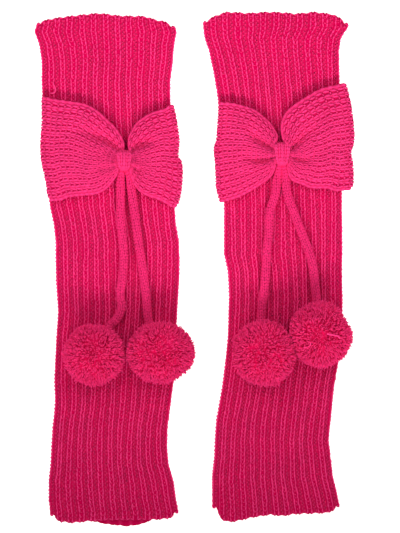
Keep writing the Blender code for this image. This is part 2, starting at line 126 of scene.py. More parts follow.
def noise_node(tree, place, scale, detail):
    """A Noise Texture's value. Its place and scale come from sockets."""
    noise = tree.nodes.new("ShaderNodeTexNoise")
    noise.inputs["Detail"].default_value = detail
    tree.links.new(place, noise.inputs["Vector"])
    tree.links.new(scale, noise.inputs["Scale"])
    return noise.outputs[0]


plies, plies_in, plies_out = new_group(
    "yarn_plies_and_fuzz",
    (
        ("Strand UV", "Vector", None),
        ("Place", "Vector", None),
        ("Twist", "Float", 3.0),
        ("Fuzz Scale", "Float", 900.0),
    ),
    (("Height", "Float", None),),
)
strand = plies.nodes.new("ShaderNodeSeparateXYZ")
plies.links.new(plies_in.outputs["Strand UV"], strand.inputs[0])
turns = math_node(plies, "MULTIPLY", strand.outputs["Y"], plies_in.outputs["Twist"])
spiral = math_node(plies, "ADD", math_node(plies, "MULTIPLY", strand.outputs["X"], PLIES), turns)
wave = math_node(plies, "SINE", math_node(plies, "MULTIPLY", spiral, math.tau), 0.0)
fuzz = noise_node(plies, plies_in.outputs["Place"], plies_in.outputs["Fuzz Scale"], FUZZ_DETAIL)
fuzz_part = math_node(plies, "MULTIPLY", fuzz, FUZZ_SHARE)
ply_part = math_node(plies, "MULTIPLY", wave, PLY_SHARE)
plies.links.new(math_node(plies, "ADD", fuzz_part, ply_part), plies_out.inputs["Height"])
print("group", plies.name, "has", len(plies.nodes), "nodes")

# %% A group for the dye and its painted shade
LOWEST_BRIGHTNESS = 0.82
STITCH_RANGE = 0.16
BLOTCH_RANGE = 0.20
BLOTCH_DETAIL = 4.0

dye_and_shade, dye_and_shade_in, dye_and_shade_out = new_group(
    "dye_and_painted_depth_shade",
    (
        ("Dye", "Color", (0.8, 0.02, 0.14, 1)),
        ("Painted Shade", "Color", (0.5, 0.0, 0.05, 1)),
        ("Depth", "Float", 1.0),
        ("Tone", "Float", 0.5),
        ("Place", "Vector", None),
        ("Blotch Scale", "Float", 60.0),
    ),
    (("Colour", "Color", None),),
)
# Painted shade: where the depth is low, the dye is mixed towards a darker pink.
painted_shade_mix = dye_and_shade.nodes.new("ShaderNodeMix")
painted_shade_mix.data_type = "RGBA"
for label, socket_name in (("Depth", "Factor"), ("Painted Shade", "A"), ("Dye", "B")):
    dye_and_shade.links.new(dye_and_shade_in.outputs[label], painted_shade_mix.inputs[socket_name])
blotch = noise_node(dye_and_shade, dye_and_shade_in.outputs["Place"], dye_and_shade_in.outputs["Blotch Scale"], BLOTCH_DETAIL)
per_stitch = math_node(dye_and_shade, "MULTIPLY", dye_and_shade_in.outputs["Tone"], STITCH_RANGE)
per_area = math_node(dye_and_shade, "MULTIPLY", blotch, BLOTCH_RANGE)
brightness = math_node(dye_and_shade, "ADD", math_node(dye_and_shade, "ADD", per_stitch, per_area), LOWEST_BRIGHTNESS)
shaded = dye_and_shade.nodes.new("ShaderNodeVectorMath")
shaded.operation = "SCALE"
dye_and_shade.links.new(painted_shade_mix.outputs["Result"], shaded.inputs[0])
dye_and_shade.links.new(brightness, shaded.inputs["Scale"])
dye_and_shade.links.new(shaded.outputs[0], dye_and_shade_out.inputs["Colour"])
print("group", dye_and_shade.name, "has", len(dye_and_shade.nodes), "nodes")

# %% [markdown]
# Each finish is then one material that places both groups with its own values. The shader itself, its
# roughness and its sheen stay in the material, because those are the same all over a piece. Sheen is the
# light that fuzz catches where a surface turns away from the eye, and wool-like yarn needs it.

# %% One material for each way the yarn is worked
HOT_PINK = (0.93, 0.043, 0.222)
# Painted shade: the darker pink given to places that lie deep between the stitches.
PAINTED_SHADE_PINK = (0.57, 0.0, 0.064)
SHEEN_TINT = (1.0, 0.12, 0.36)
SHEEN_ROUGHNESS = 0.45
SPECULAR_LEVEL = 0.03
YARNS = {
    # slot: name, painted lightness for how lit it looks, roughness, sheen, twist of the plies, relief in
    # millimetres
    "rib_knit": ("rib_knit_yarn", 0.98, 0.90, 0.10, 3.0, 0.35),
    "bow_knit": ("bow_knit_yarn", 0.95, 0.88, 0.06, 3.0, 0.35),
    "knot_knit": ("knot_knit_yarn", 0.96, 0.88, 0.06, 3.0, 0.30),
    "tie_yarn": ("tie_cord_yarn", 1.06, 0.90, 0.0, 3.0, 0.20),
    "pompom_yarn": ("pompom_cut_yarn", 1.18, 0.95, 0.06, 4.0, 0.15),
}


def scaled(colour, share):
    """A colour made lighter or darker, with the alpha that a socket wants."""
    return (*(channel * share for channel in colour), 1.0)


def yarn(name, painted_lightness, roughness, sheen, twist, relief):
    """A material of dyed yarn, made lighter or darker as painted light. Relief is the height of its plies
    and fuzz.
    """
    material = bpy.data.materials.new(name)
    material.use_nodes = True
    tree = material.node_tree
    shader = tree.nodes["Principled BSDF"]
    shader.inputs["Roughness"].default_value = roughness
    shader.inputs["Sheen Weight"].default_value = sheen
    shader.inputs["Sheen Roughness"].default_value = SHEEN_ROUGHNESS
    shader.inputs["Sheen Tint"].default_value = (*SHEEN_TINT, 1.0)
    shader.inputs["Specular IOR Level"].default_value = SPECULAR_LEVEL
    place = tree.nodes.new("ShaderNodeTexCoord")
    height = tree.nodes.new("ShaderNodeGroup")
    height.node_tree = plies
    height.inputs["Twist"].default_value = twist
    tree.links.new(place.outputs["UV"], height.inputs["Strand UV"])
    tree.links.new(place.outputs["Object"], height.inputs["Place"])
    bump = tree.nodes.new("ShaderNodeBump")
    bump.inputs["Distance"].default_value = relief * MM
    tree.links.new(height.outputs["Height"], bump.inputs["Height"])
    tree.links.new(bump.outputs["Normal"], shader.inputs["Normal"])
    colour = tree.nodes.new("ShaderNodeGroup")
    colour.node_tree = dye_and_shade
    colour.inputs["Dye"].default_value = scaled(HOT_PINK, painted_lightness)
    colour.inputs["Painted Shade"].default_value = scaled(PAINTED_SHADE_PINK, painted_lightness)
    for attribute_name, socket_name in (("depth", "Depth"), ("tone", "Tone")):
        attribute = tree.nodes.new("ShaderNodeAttribute")
        attribute.attribute_name = attribute_name
        tree.links.new(attribute.outputs["Fac"], colour.inputs[socket_name])
    tree.links.new(place.outputs["Object"], colour.inputs["Place"])
    tree.links.new(colour.outputs["Colour"], shader.inputs["Base Color"])
    return material


FINISHES = {slot: yarn(*values) for slot, values in YARNS.items()}
print("finishes:", ", ".join(FINISHES))

# %% [markdown]
# ## Tools that all the knitting shares
#
# Knitting is one small shape again and again: a loop of yarn whose two legs lie on the cloth like a
# split petal. One leg is modelled once, from a sphere. It would be thousands of objects if each stitch
# were placed by hand, so the petal's mesh is copied along the cloth in one step and joined as one mesh.
#
# The cloth behind the stitches is a flat grid from `create_grid`, laid on computed rows of points and
# merged where it meets itself. That keeps every tube in one closed piece with no stray edges.

# %% Cloth from a flat grid
MIDDLE_TONE = 0.5
MERGE_DISTANCE = 1e-6


def finish_piece(mesh, name, slot, replaced=()):
    """Make a mesh a smooth piece that rides on the frame, with its slot's finish."""
    mesh.shade_smooth()
    mesh.materials.append(FINISHES[slot])
    piece = bpy.data.objects.new(name, mesh)
    bpy.context.scene.collection.objects.link(piece)
    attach(piece, "root")
    if replaced:
        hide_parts(*replaced)
    return piece


def face_count(pieces):
    """How many faces some pieces have together."""
    return sum(len(piece.data.polygons) for piece in pieces)


def mesh_from(bm, name):
    """A new mesh with what a bmesh holds. The bmesh is freed."""
    mesh = bpy.data.meshes.new(name)
    bm.to_mesh(mesh)
    bm.free()
    return mesh


def place_corners(bm, places, depths):
    """Move corners to places in millimetres, and write the depth for painted shade and the dye's tone."""
    depth_layer = bm.verts.layers.float.new("depth")
    tone_layer = bm.verts.layers.float.new("tone")
    for vert, place, depth in zip(bm.verts, places, depths):
        vert.co = place * MM
        vert[depth_layer] = depth
        vert[tone_layer] = MIDDLE_TONE


def cloth_mesh(name, points, depth):
    """A grid laid on rows of points (rows, columns, xyz) in millimetres, merged where its edges meet."""
    rows, columns = points.shape[:2]
    bm = bmesh.new()
    bm.loops.layers.uv.new("UVMap")
    bmesh.ops.create_grid(bm, x_segments=columns - 1, y_segments=rows - 1, size=0.5, calc_uvs=True)
    shares = np.array([vert.co.xy for vert in bm.verts]) + 0.5
    column, row = np.rint(shares * (columns - 1, rows - 1)).astype(int).T
    place_corners(bm, points[row, column], depth[row, column])
    on_edge = (row % (rows - 1) == 0) | (column % (columns - 1) == 0)
    edge = [vert for vert, merges in zip(bm.verts, on_edge) if merges]
    bmesh.ops.remove_doubles(bm, verts=edge, dist=MERGE_DISTANCE)
    bmesh.ops.recalc_face_normals(bm, faces=bm.faces)
    return mesh_from(bm, name)

# %% One leg of a stitch, from a sphere
PETAL_DROOP = 0.35


def unwrap_strand(bm):
    """Give a strand a UV map: once round it across, and along its length up."""
    layer = bm.loops.layers.uv.verify()
    for face in bm.faces:
        rounds = [math.atan2(loop.vert.co.z, loop.vert.co.x) / math.tau % 1.0 for loop in face.loops]
        for loop, share in zip(face.loops, rounds):
            wrapped = share + 1.0 if max(rounds) - share > 0.5 else share
            loop[layer].uv = (wrapped, loop.vert.co.y + 0.5)


def element(bm):
    """A small mesh as plain arrays, ready to be copied: its corners, its faces and their UVs."""
    unwrap_strand(bm)
    bmesh.ops.triangulate(bm, faces=bm.faces)
    bm.verts.index_update()
    layer = bm.loops.layers.uv.verify()
    corners = np.array([vert.co for vert in bm.verts])
    faces = np.array([[vert.index for vert in face.verts] for face in bm.faces])
    uvs = np.array([loop[layer].uv for face in bm.faces for loop in face.loops])
    bm.free()
    return corners, faces, uvs


def turn_all(bm, degrees, axis):
    """Turn everything in a bmesh about the origin."""
    matrix = Matrix.Rotation(math.radians(degrees), 3, axis)
    bmesh.ops.rotate(bm, verts=bm.verts, cent=(0, 0, 0), matrix=matrix)


def petal(around, along):
    """A stitch's leg, 1 long, 1 wide and 1 high, that dives into the cloth at both ends."""
    bm = bmesh.new()
    bmesh.ops.create_uvsphere(bm, u_segments=around, v_segments=along, radius=0.5)
    turn_all(bm, -90, "X")
    turn_all(bm, -90, "Y")
    for vert in bm.verts:
        vert.co.z -= PETAL_DROOP * (2 * vert.co.y) ** 2
    return element(bm)


FINE_PETAL = petal(5, 4)
PLAIN_PETAL = petal(4, 3)
SPARE_PETAL = petal(4, 2)
print("triangles in the petals:", [len(shape[1]) for shape in (FINE_PETAL, PLAIN_PETAL, SPARE_PETAL)])

# %% Many copies of one element, joined
# A copy is painted towards the shade pink at its foot, where it dives into the cloth, and full dye from
# this share of its height.
FULL_DEPTH_FROM = 0.9


def joined_mesh(name, points, shape, depths):
    """Write the points of many copies of an element into one mesh. Each copy gets a tone of its own."""
    corners, faces, uvs = shape
    count = len(points) // len(corners)
    offsets = np.arange(count)[:, None, None] * len(corners)
    indices = (faces[None, :, :] + offsets).reshape(-1)
    mesh = bpy.data.meshes.new(name)
    mesh.vertices.add(len(points))
    mesh.loops.add(len(indices))
    mesh.polygons.add(len(indices) // 3)
    mesh.vertices.foreach_set("co", (points * MM).astype(np.float32).ravel())
    mesh.loops.foreach_set("vertex_index", indices.astype(np.int32))
    mesh.polygons.foreach_set("loop_start", np.arange(0, len(indices), 3, dtype=np.int32))
    all_uvs = np.tile(uvs, (count, 1)).astype(np.float32).ravel()
    mesh.uv_layers.new(name="UVMap").uv.foreach_set("vector", all_uvs)
    tones = np.repeat(dice.random(count), len(corners))
    for label, values in (("depth", depths), ("tone", tones)):
        attribute = mesh.attributes.new(label, "FLOAT", "POINT")
        attribute.data.foreach_set("value", np.clip(values, 0, 1).astype(np.float32))
    mesh.update(calc_edges=True)
    mesh.validate()
    return mesh


def add_copies(name, slot, shape, centres, axes, floor=None, depths=(0.1, 1.0)):
    """A piece of copies, each with a centre, three axes as long as it is, and depths from foot to top for
    painted shade.
    """
    corners = shape[0]
    across, along, up = (axis[:, None, :] for axis in axes)
    points = (
        centres[:, None, :]
        + corners[None, :, 0:1] * across
        + corners[None, :, 1:2] * along
        + corners[None, :, 2:3] * up
    ).reshape(-1, 3)
    if floor is not None:
        points[:, 2] = np.maximum(points[:, 2], floor)
    heights = np.clip(corners[:, 2] + 0.5, 0, 1)
    all_depths = np.tile(np.interp(heights, (0, FULL_DEPTH_FROM), depths), len(centres))
    return finish_piece(joined_mesh(name, points, shape, all_depths), name, slot)

# %% Places and directions on a surface
def every(*values):
    """Every combination of some values, as one flat array for each."""
    return [part.ravel() for part in np.meshgrid(*values, indexing="ij")]


def unit(vectors):
    """The same vectors, each 1 long."""
    return vectors / np.maximum(np.linalg.norm(vectors, axis=-1, keepdims=True), 1e-9)


def directions(surface, first, second, step_first, step_second):
    """Places on a surface at two coordinates, its unit directions along each of them, and outwards."""
    middle = surface(first, second)
    along_first = unit(surface(first + step_first, second) - surface(first - step_first, second))
    along_second = unit(surface(first, second + step_second) - surface(first, second - step_second))
    return middle, along_first, along_second, unit(np.cross(along_second, along_first))


def slanted(across, along, angle):
    """Two directions turned together by an angle in radians, from along towards across."""
    turn = angle[:, None]
    return across * np.cos(turn) - along * np.sin(turn), along * np.cos(turn) + across * np.sin(turn)

# %% [markdown]
# ## The ties
#
# Each tie is a knitted cord about as thick as a pencil. It leaves the knot from below, where it is
# gathered, lies down the leg in a loose line, and goes into its pompom. All of it shows, so its length is
# what the photograph shows. A curve with a round bevel would be a plain pipe. Instead a grid is rolled
# into a tube along the route, and petals lie on it in six columns, as on a cord knitted in the round.

# %% Routes of the ties
REST_LEVEL = 6.9
TIE_RADIUS = 3.2
TIE_LEVEL = REST_LEVEL + TIE_RADIUS
GATHER_SHIFT = (1.4, 1.0)
TIE_ROUTES = {
    # x, y from the knot to the pompom, in millimetres
    "left_tie_outer": (
        (-58.6, 79.3),
        (-58.2, 71.2),
        (-58.2, 59.2),
        (-58.2, 42.4),
        (-56.8, 25.6),
        (-55.6, 9.6),
        (-56.8, -7.2),
        (-58.5, -19.7),
        (-57.5, -30.4),
        (-61.0, -39.2),
        (-67.2, -45.6),
        (-70.1, -51.1),
    ),
    "left_tie_inner": (
        (-51.8, 79.3),
        (-50.6, 71.2),
        (-48.6, 56.0),
        (-46.2, 38.4),
        (-43.8, 20.3),
        (-41.2, 4.0),
        (-39.4, -10.0),
        (-37.5, -25.2),
        (-36.2, -40.3),
        (-33.8, -48.6),
    ),
    "right_tie_inner": (
        (67.4, 83.3),
        (66.8, 72.0),
        (65.4, 60.0),
        (61.5, 47.2),
        (60.4, 31.2),
        (58.8, 15.2),
        (57.8, -1.1),
        (56.6, -15.0),
        (55.0, -27.8),
        (54.0, -38.4),
        (54.6, -47.0),
    ),
    "right_tie_outer": (
        (74.2, 83.3),
        (73.8, 72.0),
        (75.0, 60.0),
        (79.6, 47.2),
        (84.4, 34.4),
        (89.8, 20.3),
        (94.2, 7.5),
        (96.3, -5.4),
        (97.4, -16.0),
        (98.2, -24.8),
        (98.7, -32.6),
    ),
}


def smooth_line(points, steps=8):
    """Close points on a smooth curve through a table's points."""
    rows = np.array(points, float)
    rows = np.vstack([2 * rows[0] - rows[1], rows, 2 * rows[-1] - rows[-2]])
    t = np.arange(steps)[:, None] / steps
    parts = []
    for a, b, c, d in zip(rows, rows[1:], rows[2:], rows[3:]):
        bend = (2 * a - 5 * b + 4 * c - d) * t**2 + (3 * b - a - 3 * c + d) * t**3
        parts.append(0.5 * (2 * b + (c - a) * t + bend))
    return np.vstack([*parts, rows[-2:-1]])


def line_lengths(points):
    """How far along a line each of its points is."""
    steps = np.linalg.norm(np.diff(points, axis=0), axis=1)
    return np.concatenate([[0.0], np.cumsum(steps)])


def read_line(points, marks):
    """Points of a line at marks from 0 at its start to 1 at its end."""
    along = line_lengths(points)
    at = np.asarray(marks) * along[-1]
    return np.stack([np.interp(at, along, points[:, axis]) for axis in range(points.shape[1])], axis=-1)


def gathered(name, route):
    """A route whose start is drawn in under its knot, where the leg's two ties are gathered."""
    low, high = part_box(name.split("_")[0] + "_knot")
    knot_x = (low[0] + high[0]) / 2 / MM
    x, y = route[0]
    return ((x + math.copysign(GATHER_SHIFT[0], knot_x - x), y + GATHER_SHIFT[1]), *route[1:])


tie_lines = {}
for name, route in TIE_ROUTES.items():
    flat_line = smooth_line(gathered(name, route))
    tie_lines[name] = np.column_stack([flat_line, np.full(len(flat_line), TIE_LEVEL)])
    print(name, "is", round(line_lengths(tie_lines[name])[-1], 1), "mm long")

# %% Knitted cords on those routes
TIE_SIDES = 16
TIE_ROW_PITCH = 1.6
TIE_CORE_SHARE = 0.84
# Painted shade: the cord's core under the stitches is coloured part way to the shade pink.
TIE_CORE_DEPTH = 0.4
TIE_FLATNESS = 1.14
TIE_TURN_LENGTH = 240.0
TIE_GATHER = 13.0
TIE_WAIST = 0.6
TIE_COURSE = 2.4
TIE_WALES = 6
TIE_HAND = 0.24
TIE_SLANT = 0.32
TIE_LIFT = 0.3
TIE_PETAL = (2.3, 3.9, 0.95)
UP = np.array((0.0, 0.0, 1.0))


def tie_points(line, turn, mark, lift):
    """Places on a tie, from the turn round it, a mark along it and the lift off its core."""
    length = line_lengths(line)[-1]
    mark = np.clip(mark, 0.0, 1.0)
    ahead = unit(read_line(line, np.clip(mark + 0.01, 0, 1)) - read_line(line, np.clip(mark - 0.01, 0, 1)))
    side = unit(np.cross(ahead, UP))
    angle = (math.tau * (turn + mark * length / TIE_TURN_LENGTH))[..., None]
    gathering = np.interp(mark * length, (0, TIE_GATHER), (TIE_WAIST, 1.0))
    radius = (TIE_RADIUS * TIE_CORE_SHARE * gathering + lift)[..., None]
    return read_line(line, mark) + radius * (TIE_FLATNESS * side * np.cos(angle) + UP * np.sin(angle))


def add_tie(name):
    """A cord's core and its stitches, as two pieces."""
    line = tie_lines[name]
    rows = round(line_lengths(line)[-1] / TIE_ROW_PITCH)
    mark = np.linspace(0, 1, rows + 1)[:, None]
    turn = np.linspace(0, 1, TIE_SIDES + 1)[None, :]
    points = tie_points(line, *np.broadcast_arrays(turn, mark), 0.0)
    centre = read_line(line, mark[:, 0])[:, None, :]
    points[[0, -1]] = centre[[0, -1]]
    points[[1, -2]] = centre[[1, -2]] + (points[[1, -2]] - centre[[1, -2]]) * 0.8
    core_mesh = cloth_mesh(name + "_cord", points, np.full(points.shape[:2], TIE_CORE_DEPTH))
    core = finish_piece(core_mesh, name + "_cord", "tie_yarn", [name])
    return core, add_tie_stitches(name)


def add_tie_stitches(name):
    """The columns of petals on a cord."""
    line = tie_lines[name]
    courses = int(line_lengths(line)[-1] / TIE_COURSE)
    course, wale, hand = every(np.arange(courses), np.arange(TIE_WALES), (-1, 1))
    count = course.size
    mark = (course + 0.5) / courses + dice.normal(0, 0.0008, count)
    turn = (wale + 0.5 + hand * TIE_HAND) / TIE_WALES + dice.normal(0, 0.006, count)
    middle, sideways, ahead, outward = directions(
        lambda turn, mark: tie_points(line, turn, mark, TIE_LIFT), turn, mark, 0.01, 0.004
    )
    across, along = slanted(-sideways, ahead, -hand * TIE_SLANT + dice.normal(0, 0.05, count))
    size = 1 + dice.normal(0, 0.05, (count, 1))
    width, length, height = TIE_PETAL
    axes = across * width * size, along * length, outward * height * size
    # Painted shade: the stitches are coloured part way to the shade pink, most at their feet.
    return add_copies(name + "_stitches", "tie_yarn", PLAIN_PETAL, middle, axes, REST_LEVEL, (0.3, 0.6))


tie_pieces = {name: add_tie(name) for name in TIE_ROUTES}
print("a tie's core and stitches have", face_count(tie_pieces["left_tie_outer"]), "faces")

# %% [markdown]
# ## The pompoms
#
# A pompom is a ball of some hundreds of cut yarn ends, tied at its middle. The ends fan out, lean on each
# other in small locks, and leave dark gaps between the locks. A bumpy sphere has neither the gaps nor the
# ragged outline. Hair strands would, but they don't export as a mesh. So one short strand is modelled, and
# bent copies of it stand on a plain core. Each strand is painted darker towards its root, and the core
# nearly all shade pink, as painted shade in the gaps.
#
# The ball isn't round all over. Where it lies on the leg it is flat and fuller, which also takes in the
# end of its tie. It is flat where it meets its neighbour, and one side of one ball is pressed in.

# %% A strand of cut yarn
POMPOMS = {
    # x, y, half width, half length
    "left_pompom_outer": (-78.8, -68.0, 24.8, 24.4),
    "left_pompom_inner": (-26.2, -66.0, 27.0, 24.4),
    "right_pompom_inner": (56.0, -66.4, 25.6, 26.0),
    "right_pompom_outer": (100.8, -52.0, 25.6, 26.0),
}
POMPOM_HALF_HEIGHT = 21.5
STRAND_SIDES = 3


def strand_element():
    """A strand of three sides that widens to its cut end and closes in a point."""
    bm = bmesh.new()
    bmesh.ops.create_cone(bm, cap_ends=True, segments=STRAND_SIDES, radius1=0.4, radius2=0.5, depth=0.6)
    top = max(bm.faces, key=lambda face: face.calc_center_median().z)
    tip = bmesh.ops.extrude_discrete_faces(bm, faces=[top])["faces"]
    bmesh.ops.translate(bm, verts=tip[0].verts, vec=(0, 0, 0.34))
    bmesh.ops.scale(bm, verts=tip[0].verts, vec=(0.8, 0.8, 1.0), space=Matrix.Identity(4))
    end = bmesh.ops.poke(bm, faces=tip)["verts"]
    bmesh.ops.translate(bm, verts=end, vec=(0, 0, 0.06))
    lowest = min(vert.co.z for vert in bm.verts)
    bmesh.ops.translate(bm, verts=bm.verts, vec=(0, 0, -lowest))
    turn_all(bm, -90, "X")
    return element(bm)


STRAND = strand_element()
print("triangles in a strand:", len(STRAND[1]))

# %% Shape of a pompom
LOWEST_WAY = -0.8
LOWER_FULLNESS = 1.6
CORE_SHARE = 0.87
CORE_DEPTH = 0.1
CORE_LUMPS = 0.03
DENT_WAY = (0.82, 0.45, 0.1)
DENT_DEPTHS = {"right_pompom_outer": 0.12}
DENT_SPREAD = 0.05
PUSH_WAVES = 6
PUSH_PITCH = 7.0


def ball_directions(count):
    """Directions spread evenly over a ball, on a spiral from its top to just above where it rests."""
    number = np.arange(count) + 0.5
    height = 1 - (1 - LOWEST_WAY) * number / count
    angle = number * math.pi * (3 - math.sqrt(5))
    ring = np.sqrt(1 - height**2)
    return np.stack([ring * np.cos(angle), ring * np.sin(angle), height], axis=1)


def slow_push(ways, strength):
    """A push that changes slowly and swirls over a ball."""
    push = np.zeros_like(ways)
    for _ in range(PUSH_WAVES):
        heading, line = unit(dice.normal(size=(2, 3)))
        push += heading * np.sin(PUSH_PITCH * (ways @ line) + dice.uniform(0, math.tau))[:, None]
    return strength * push / math.sqrt(PUSH_WAVES)


def dent(name, ways):
    """How much shorter a pompom is along each direction, where its side is flattened."""
    return DENT_DEPTHS.get(name, 0.0) * np.exp((ways @ unit(np.array(DENT_WAY)) - 1) / DENT_SPREAD)


def press(points, name):
    """Push a pompom's points back to the plane where it meets the pompom beside it."""
    side, _, place = name.split("_")
    other_name = f"{side}_pompom_{'inner' if place == 'outer' else 'outer'}"
    centre, other = (np.array((*POMPOMS[key][:2], 0.0)) for key in (name, other_name))
    half_widths = POMPOMS[name][2], POMPOMS[other_name][2]
    gap = np.linalg.norm(other - centre)
    towards = (other - centre) / gap
    over = (points - centre) @ towards - gap * half_widths[0] / sum(half_widths)
    points -= np.maximum(over, 0)[:, None] * towards


def settle(points, name):
    """Move points of a ball 1 in radius to a pompom's place, pressed where it lies and touches the next."""
    x, y, half_width, half_length = POMPOMS[name]
    points[:, 2] *= np.where(points[:, 2] < 0, LOWER_FULLNESS, 1.0)
    points *= (half_width, half_length, POMPOM_HALF_HEIGHT)
    points += (x, y, REST_LEVEL + POMPOM_HALF_HEIGHT)
    points[:, 2] = np.maximum(points[:, 2], REST_LEVEL)
    press(points, name)


def add_core(name):
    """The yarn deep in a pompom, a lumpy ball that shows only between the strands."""
    bm = bmesh.new()
    bm.loops.layers.uv.new("UVMap")
    bmesh.ops.create_icosphere(bm, subdivisions=4, radius=1.0, calc_uvs=True)
    ways = np.array([vert.co for vert in bm.verts])
    points = (ways + slow_push(ways, CORE_LUMPS)) * (CORE_SHARE - dent(name, ways))[:, None]
    settle(points, name)
    # Painted shade: the core is coloured nearly all shade pink, as shade between the strands.
    place_corners(bm, points, np.full(len(points), CORE_DEPTH))
    return finish_piece(mesh_from(bm, name + "_core"), name + "_core", "pompom_yarn")

# %% Balls of bent strands
STRANDS = 5600
LOCKS = 1000
STRAND_ROOT = 0.74
STRAND_REACH = 0.985
STRAND_WIDTH = 1.05
LOCK_LEAN = 0.5
SWIRL = 0.035
SWEEP = 0.022
LUMPS = 0.03
STRAY_SHARE = 0.06
STRAY_LENGTH = 0.035
SPIN_REFERENCE = (0.31, 0.87, 0.39)
TIP_DEPTHS = (0.65, 1.0)


def add_strands(name):
    """One ball of strands that lean into small locks over its core."""
    ways = unit(ball_directions(STRANDS) + dice.normal(0, 0.016, (STRANDS, 3)))
    lock_ways = unit(ball_directions(LOCKS) + dice.normal(0, 0.03, (LOCKS, 3)))
    lock = np.argmax(ways @ lock_ways.T, axis=1)
    lean = LOCK_LEAN * (lock_ways[lock] - ways) + slow_push(ways, SWIRL)
    sweep = dice.normal(0, SWEEP, (LOCKS, 3))[lock] + dice.normal(0, SWEEP, (STRANDS, 3))
    reach = STRAND_REACH + dice.normal(0, 0.018, LOCKS)[lock] + dice.normal(0, 0.026, STRANDS)
    reach += slow_push(ways, LUMPS)[:, 2] - dent(name, ways)
    reach[dice.random(STRANDS) < STRAY_SHARE] += STRAY_LENGTH
    corners = STRAND[0][None, :, :]
    outwards = corners[..., 1:2]
    distance = STRAND_ROOT + (reach[:, None, None] - STRAND_ROOT) * outwards
    spine = unit(ways[:, None, :] + (lean + sweep)[:, None, :] * outwards**2) * distance
    first = unit(np.cross(ways, SPIN_REFERENCE))
    first, second = slanted(np.cross(ways, first), first, dice.uniform(0, math.tau, STRANDS))[::-1]
    width = (STRAND_WIDTH + dice.normal(0, 0.12, STRANDS))[:, None, None] / POMPOMS[name][2]
    section = corners[..., 0:1] * second[:, None, :] + corners[..., 2:3] * first[:, None, :]
    points = (spine + width * section).reshape(-1, 3)
    settle(points, name)
    # Painted shade: each strand is coloured darker towards its root; its tip's share varies at random.
    depths = (corners[0, :, 1] ** 3 * dice.uniform(*TIP_DEPTHS, (STRANDS, 1))).ravel()
    mesh = joined_mesh(name + "_strands", points, STRAND, depths)
    return finish_piece(mesh, name + "_strands", "pompom_yarn", [name])


pompom_pieces = {name: (add_strands(name), add_core(name)) for name in POMPOMS}
print("a pompom has", face_count(pompom_pieces["left_pompom_outer"]), "triangles")

# %% [markdown]
# ## Loose yarn
#
# Three strands lie loose in the photograph: two long ends on the outer right pompom, and a tail that
# curls on the left leg just above its bow. Each is a thin tube along a line, made like the ties.

# %% Loose ends and a tail
LOOSE_RADIUS = 0.55
LOOSE_SIDES = 6
LOOSE_YARN = {
    # name: slot, then x, y, z along it
    "right_pompom_outer_end_upper": (
        "pompom_yarn",
        (
            (104.6, -50.8, 50.0),
            (107.2, -51.4, 50.4),
            (110.2, -51.9, 49.3),
            (113.6, -52.8, 47.4),
            (115.4, -55.0, 45.4),
        ),
    ),
    "right_pompom_outer_end_lower": (
        "pompom_yarn",
        ((92.4, -57.4, 47.6), (91.6, -60.2, 46.4), (89.2, -61.8, 44.8), (86.8, -61.6, 43.6)),
    ),
    "left_leg_tail": (
        "rib_knit",
        (
            (-112.5, 149.8, 7.0),
            (-111.8, 147.5, 7.5),
            (-110.6, 144.6, 7.6),
            (-110.7, 142.0, 7.7),
            (-112.4, 140.6, 8.2),
            (-114.6, 140.8, 8.0),
        ),
    ),
}


def rolled(line, first, second, radius, sides):
    """A grid of points rolled into a tube round a line, whose section has two given directions."""
    angle = np.linspace(0, math.tau, sides + 1)[None, :, None]
    section = first[:, None, :] * np.cos(angle) + second[:, None, :] * np.sin(angle)
    return line[:, None, :] + radius * section


def add_loose_yarn(name):
    """A thin round strand along a smooth line, closed at both ends."""
    slot, route = LOOSE_YARN[name]
    line = smooth_line(route, 5)
    ahead = unit(np.gradient(line, axis=0))
    side = unit(np.cross(ahead, UP))
    radius = np.full((len(line), 1, 1), LOOSE_RADIUS)
    radius[[0, -1]] = 0.0
    points = rolled(line, side, np.cross(side, ahead), radius, LOOSE_SIDES)
    return finish_piece(cloth_mesh(name, points, np.ones(points.shape[:2])), name, slot)


loose_yarn = {name: add_loose_yarn(name) for name in LOOSE_YARN}
print("loose strands:", len(loose_yarn))

# %% [markdown]
# ## The ribbed legs
#
# A leg is one tube in 1 by 1 rib: a column of knit stitches stands up, the purl column beside it sinks,
# and so on round. Laid flat, the tube has an upper and an under layer and a soft fold at each side. One
# rib lies on each fold, so there are eleven ribs on each face and one more on each side.
#
# A flat sheet with a striped bump would look painted. Here the ribs are in the mesh, and every place on
# the leg is named by three numbers: the turn round the tube counted in ribs, the level along it, and the
# lift off the valleys' floor. A negative lift gives the inside of the tube.

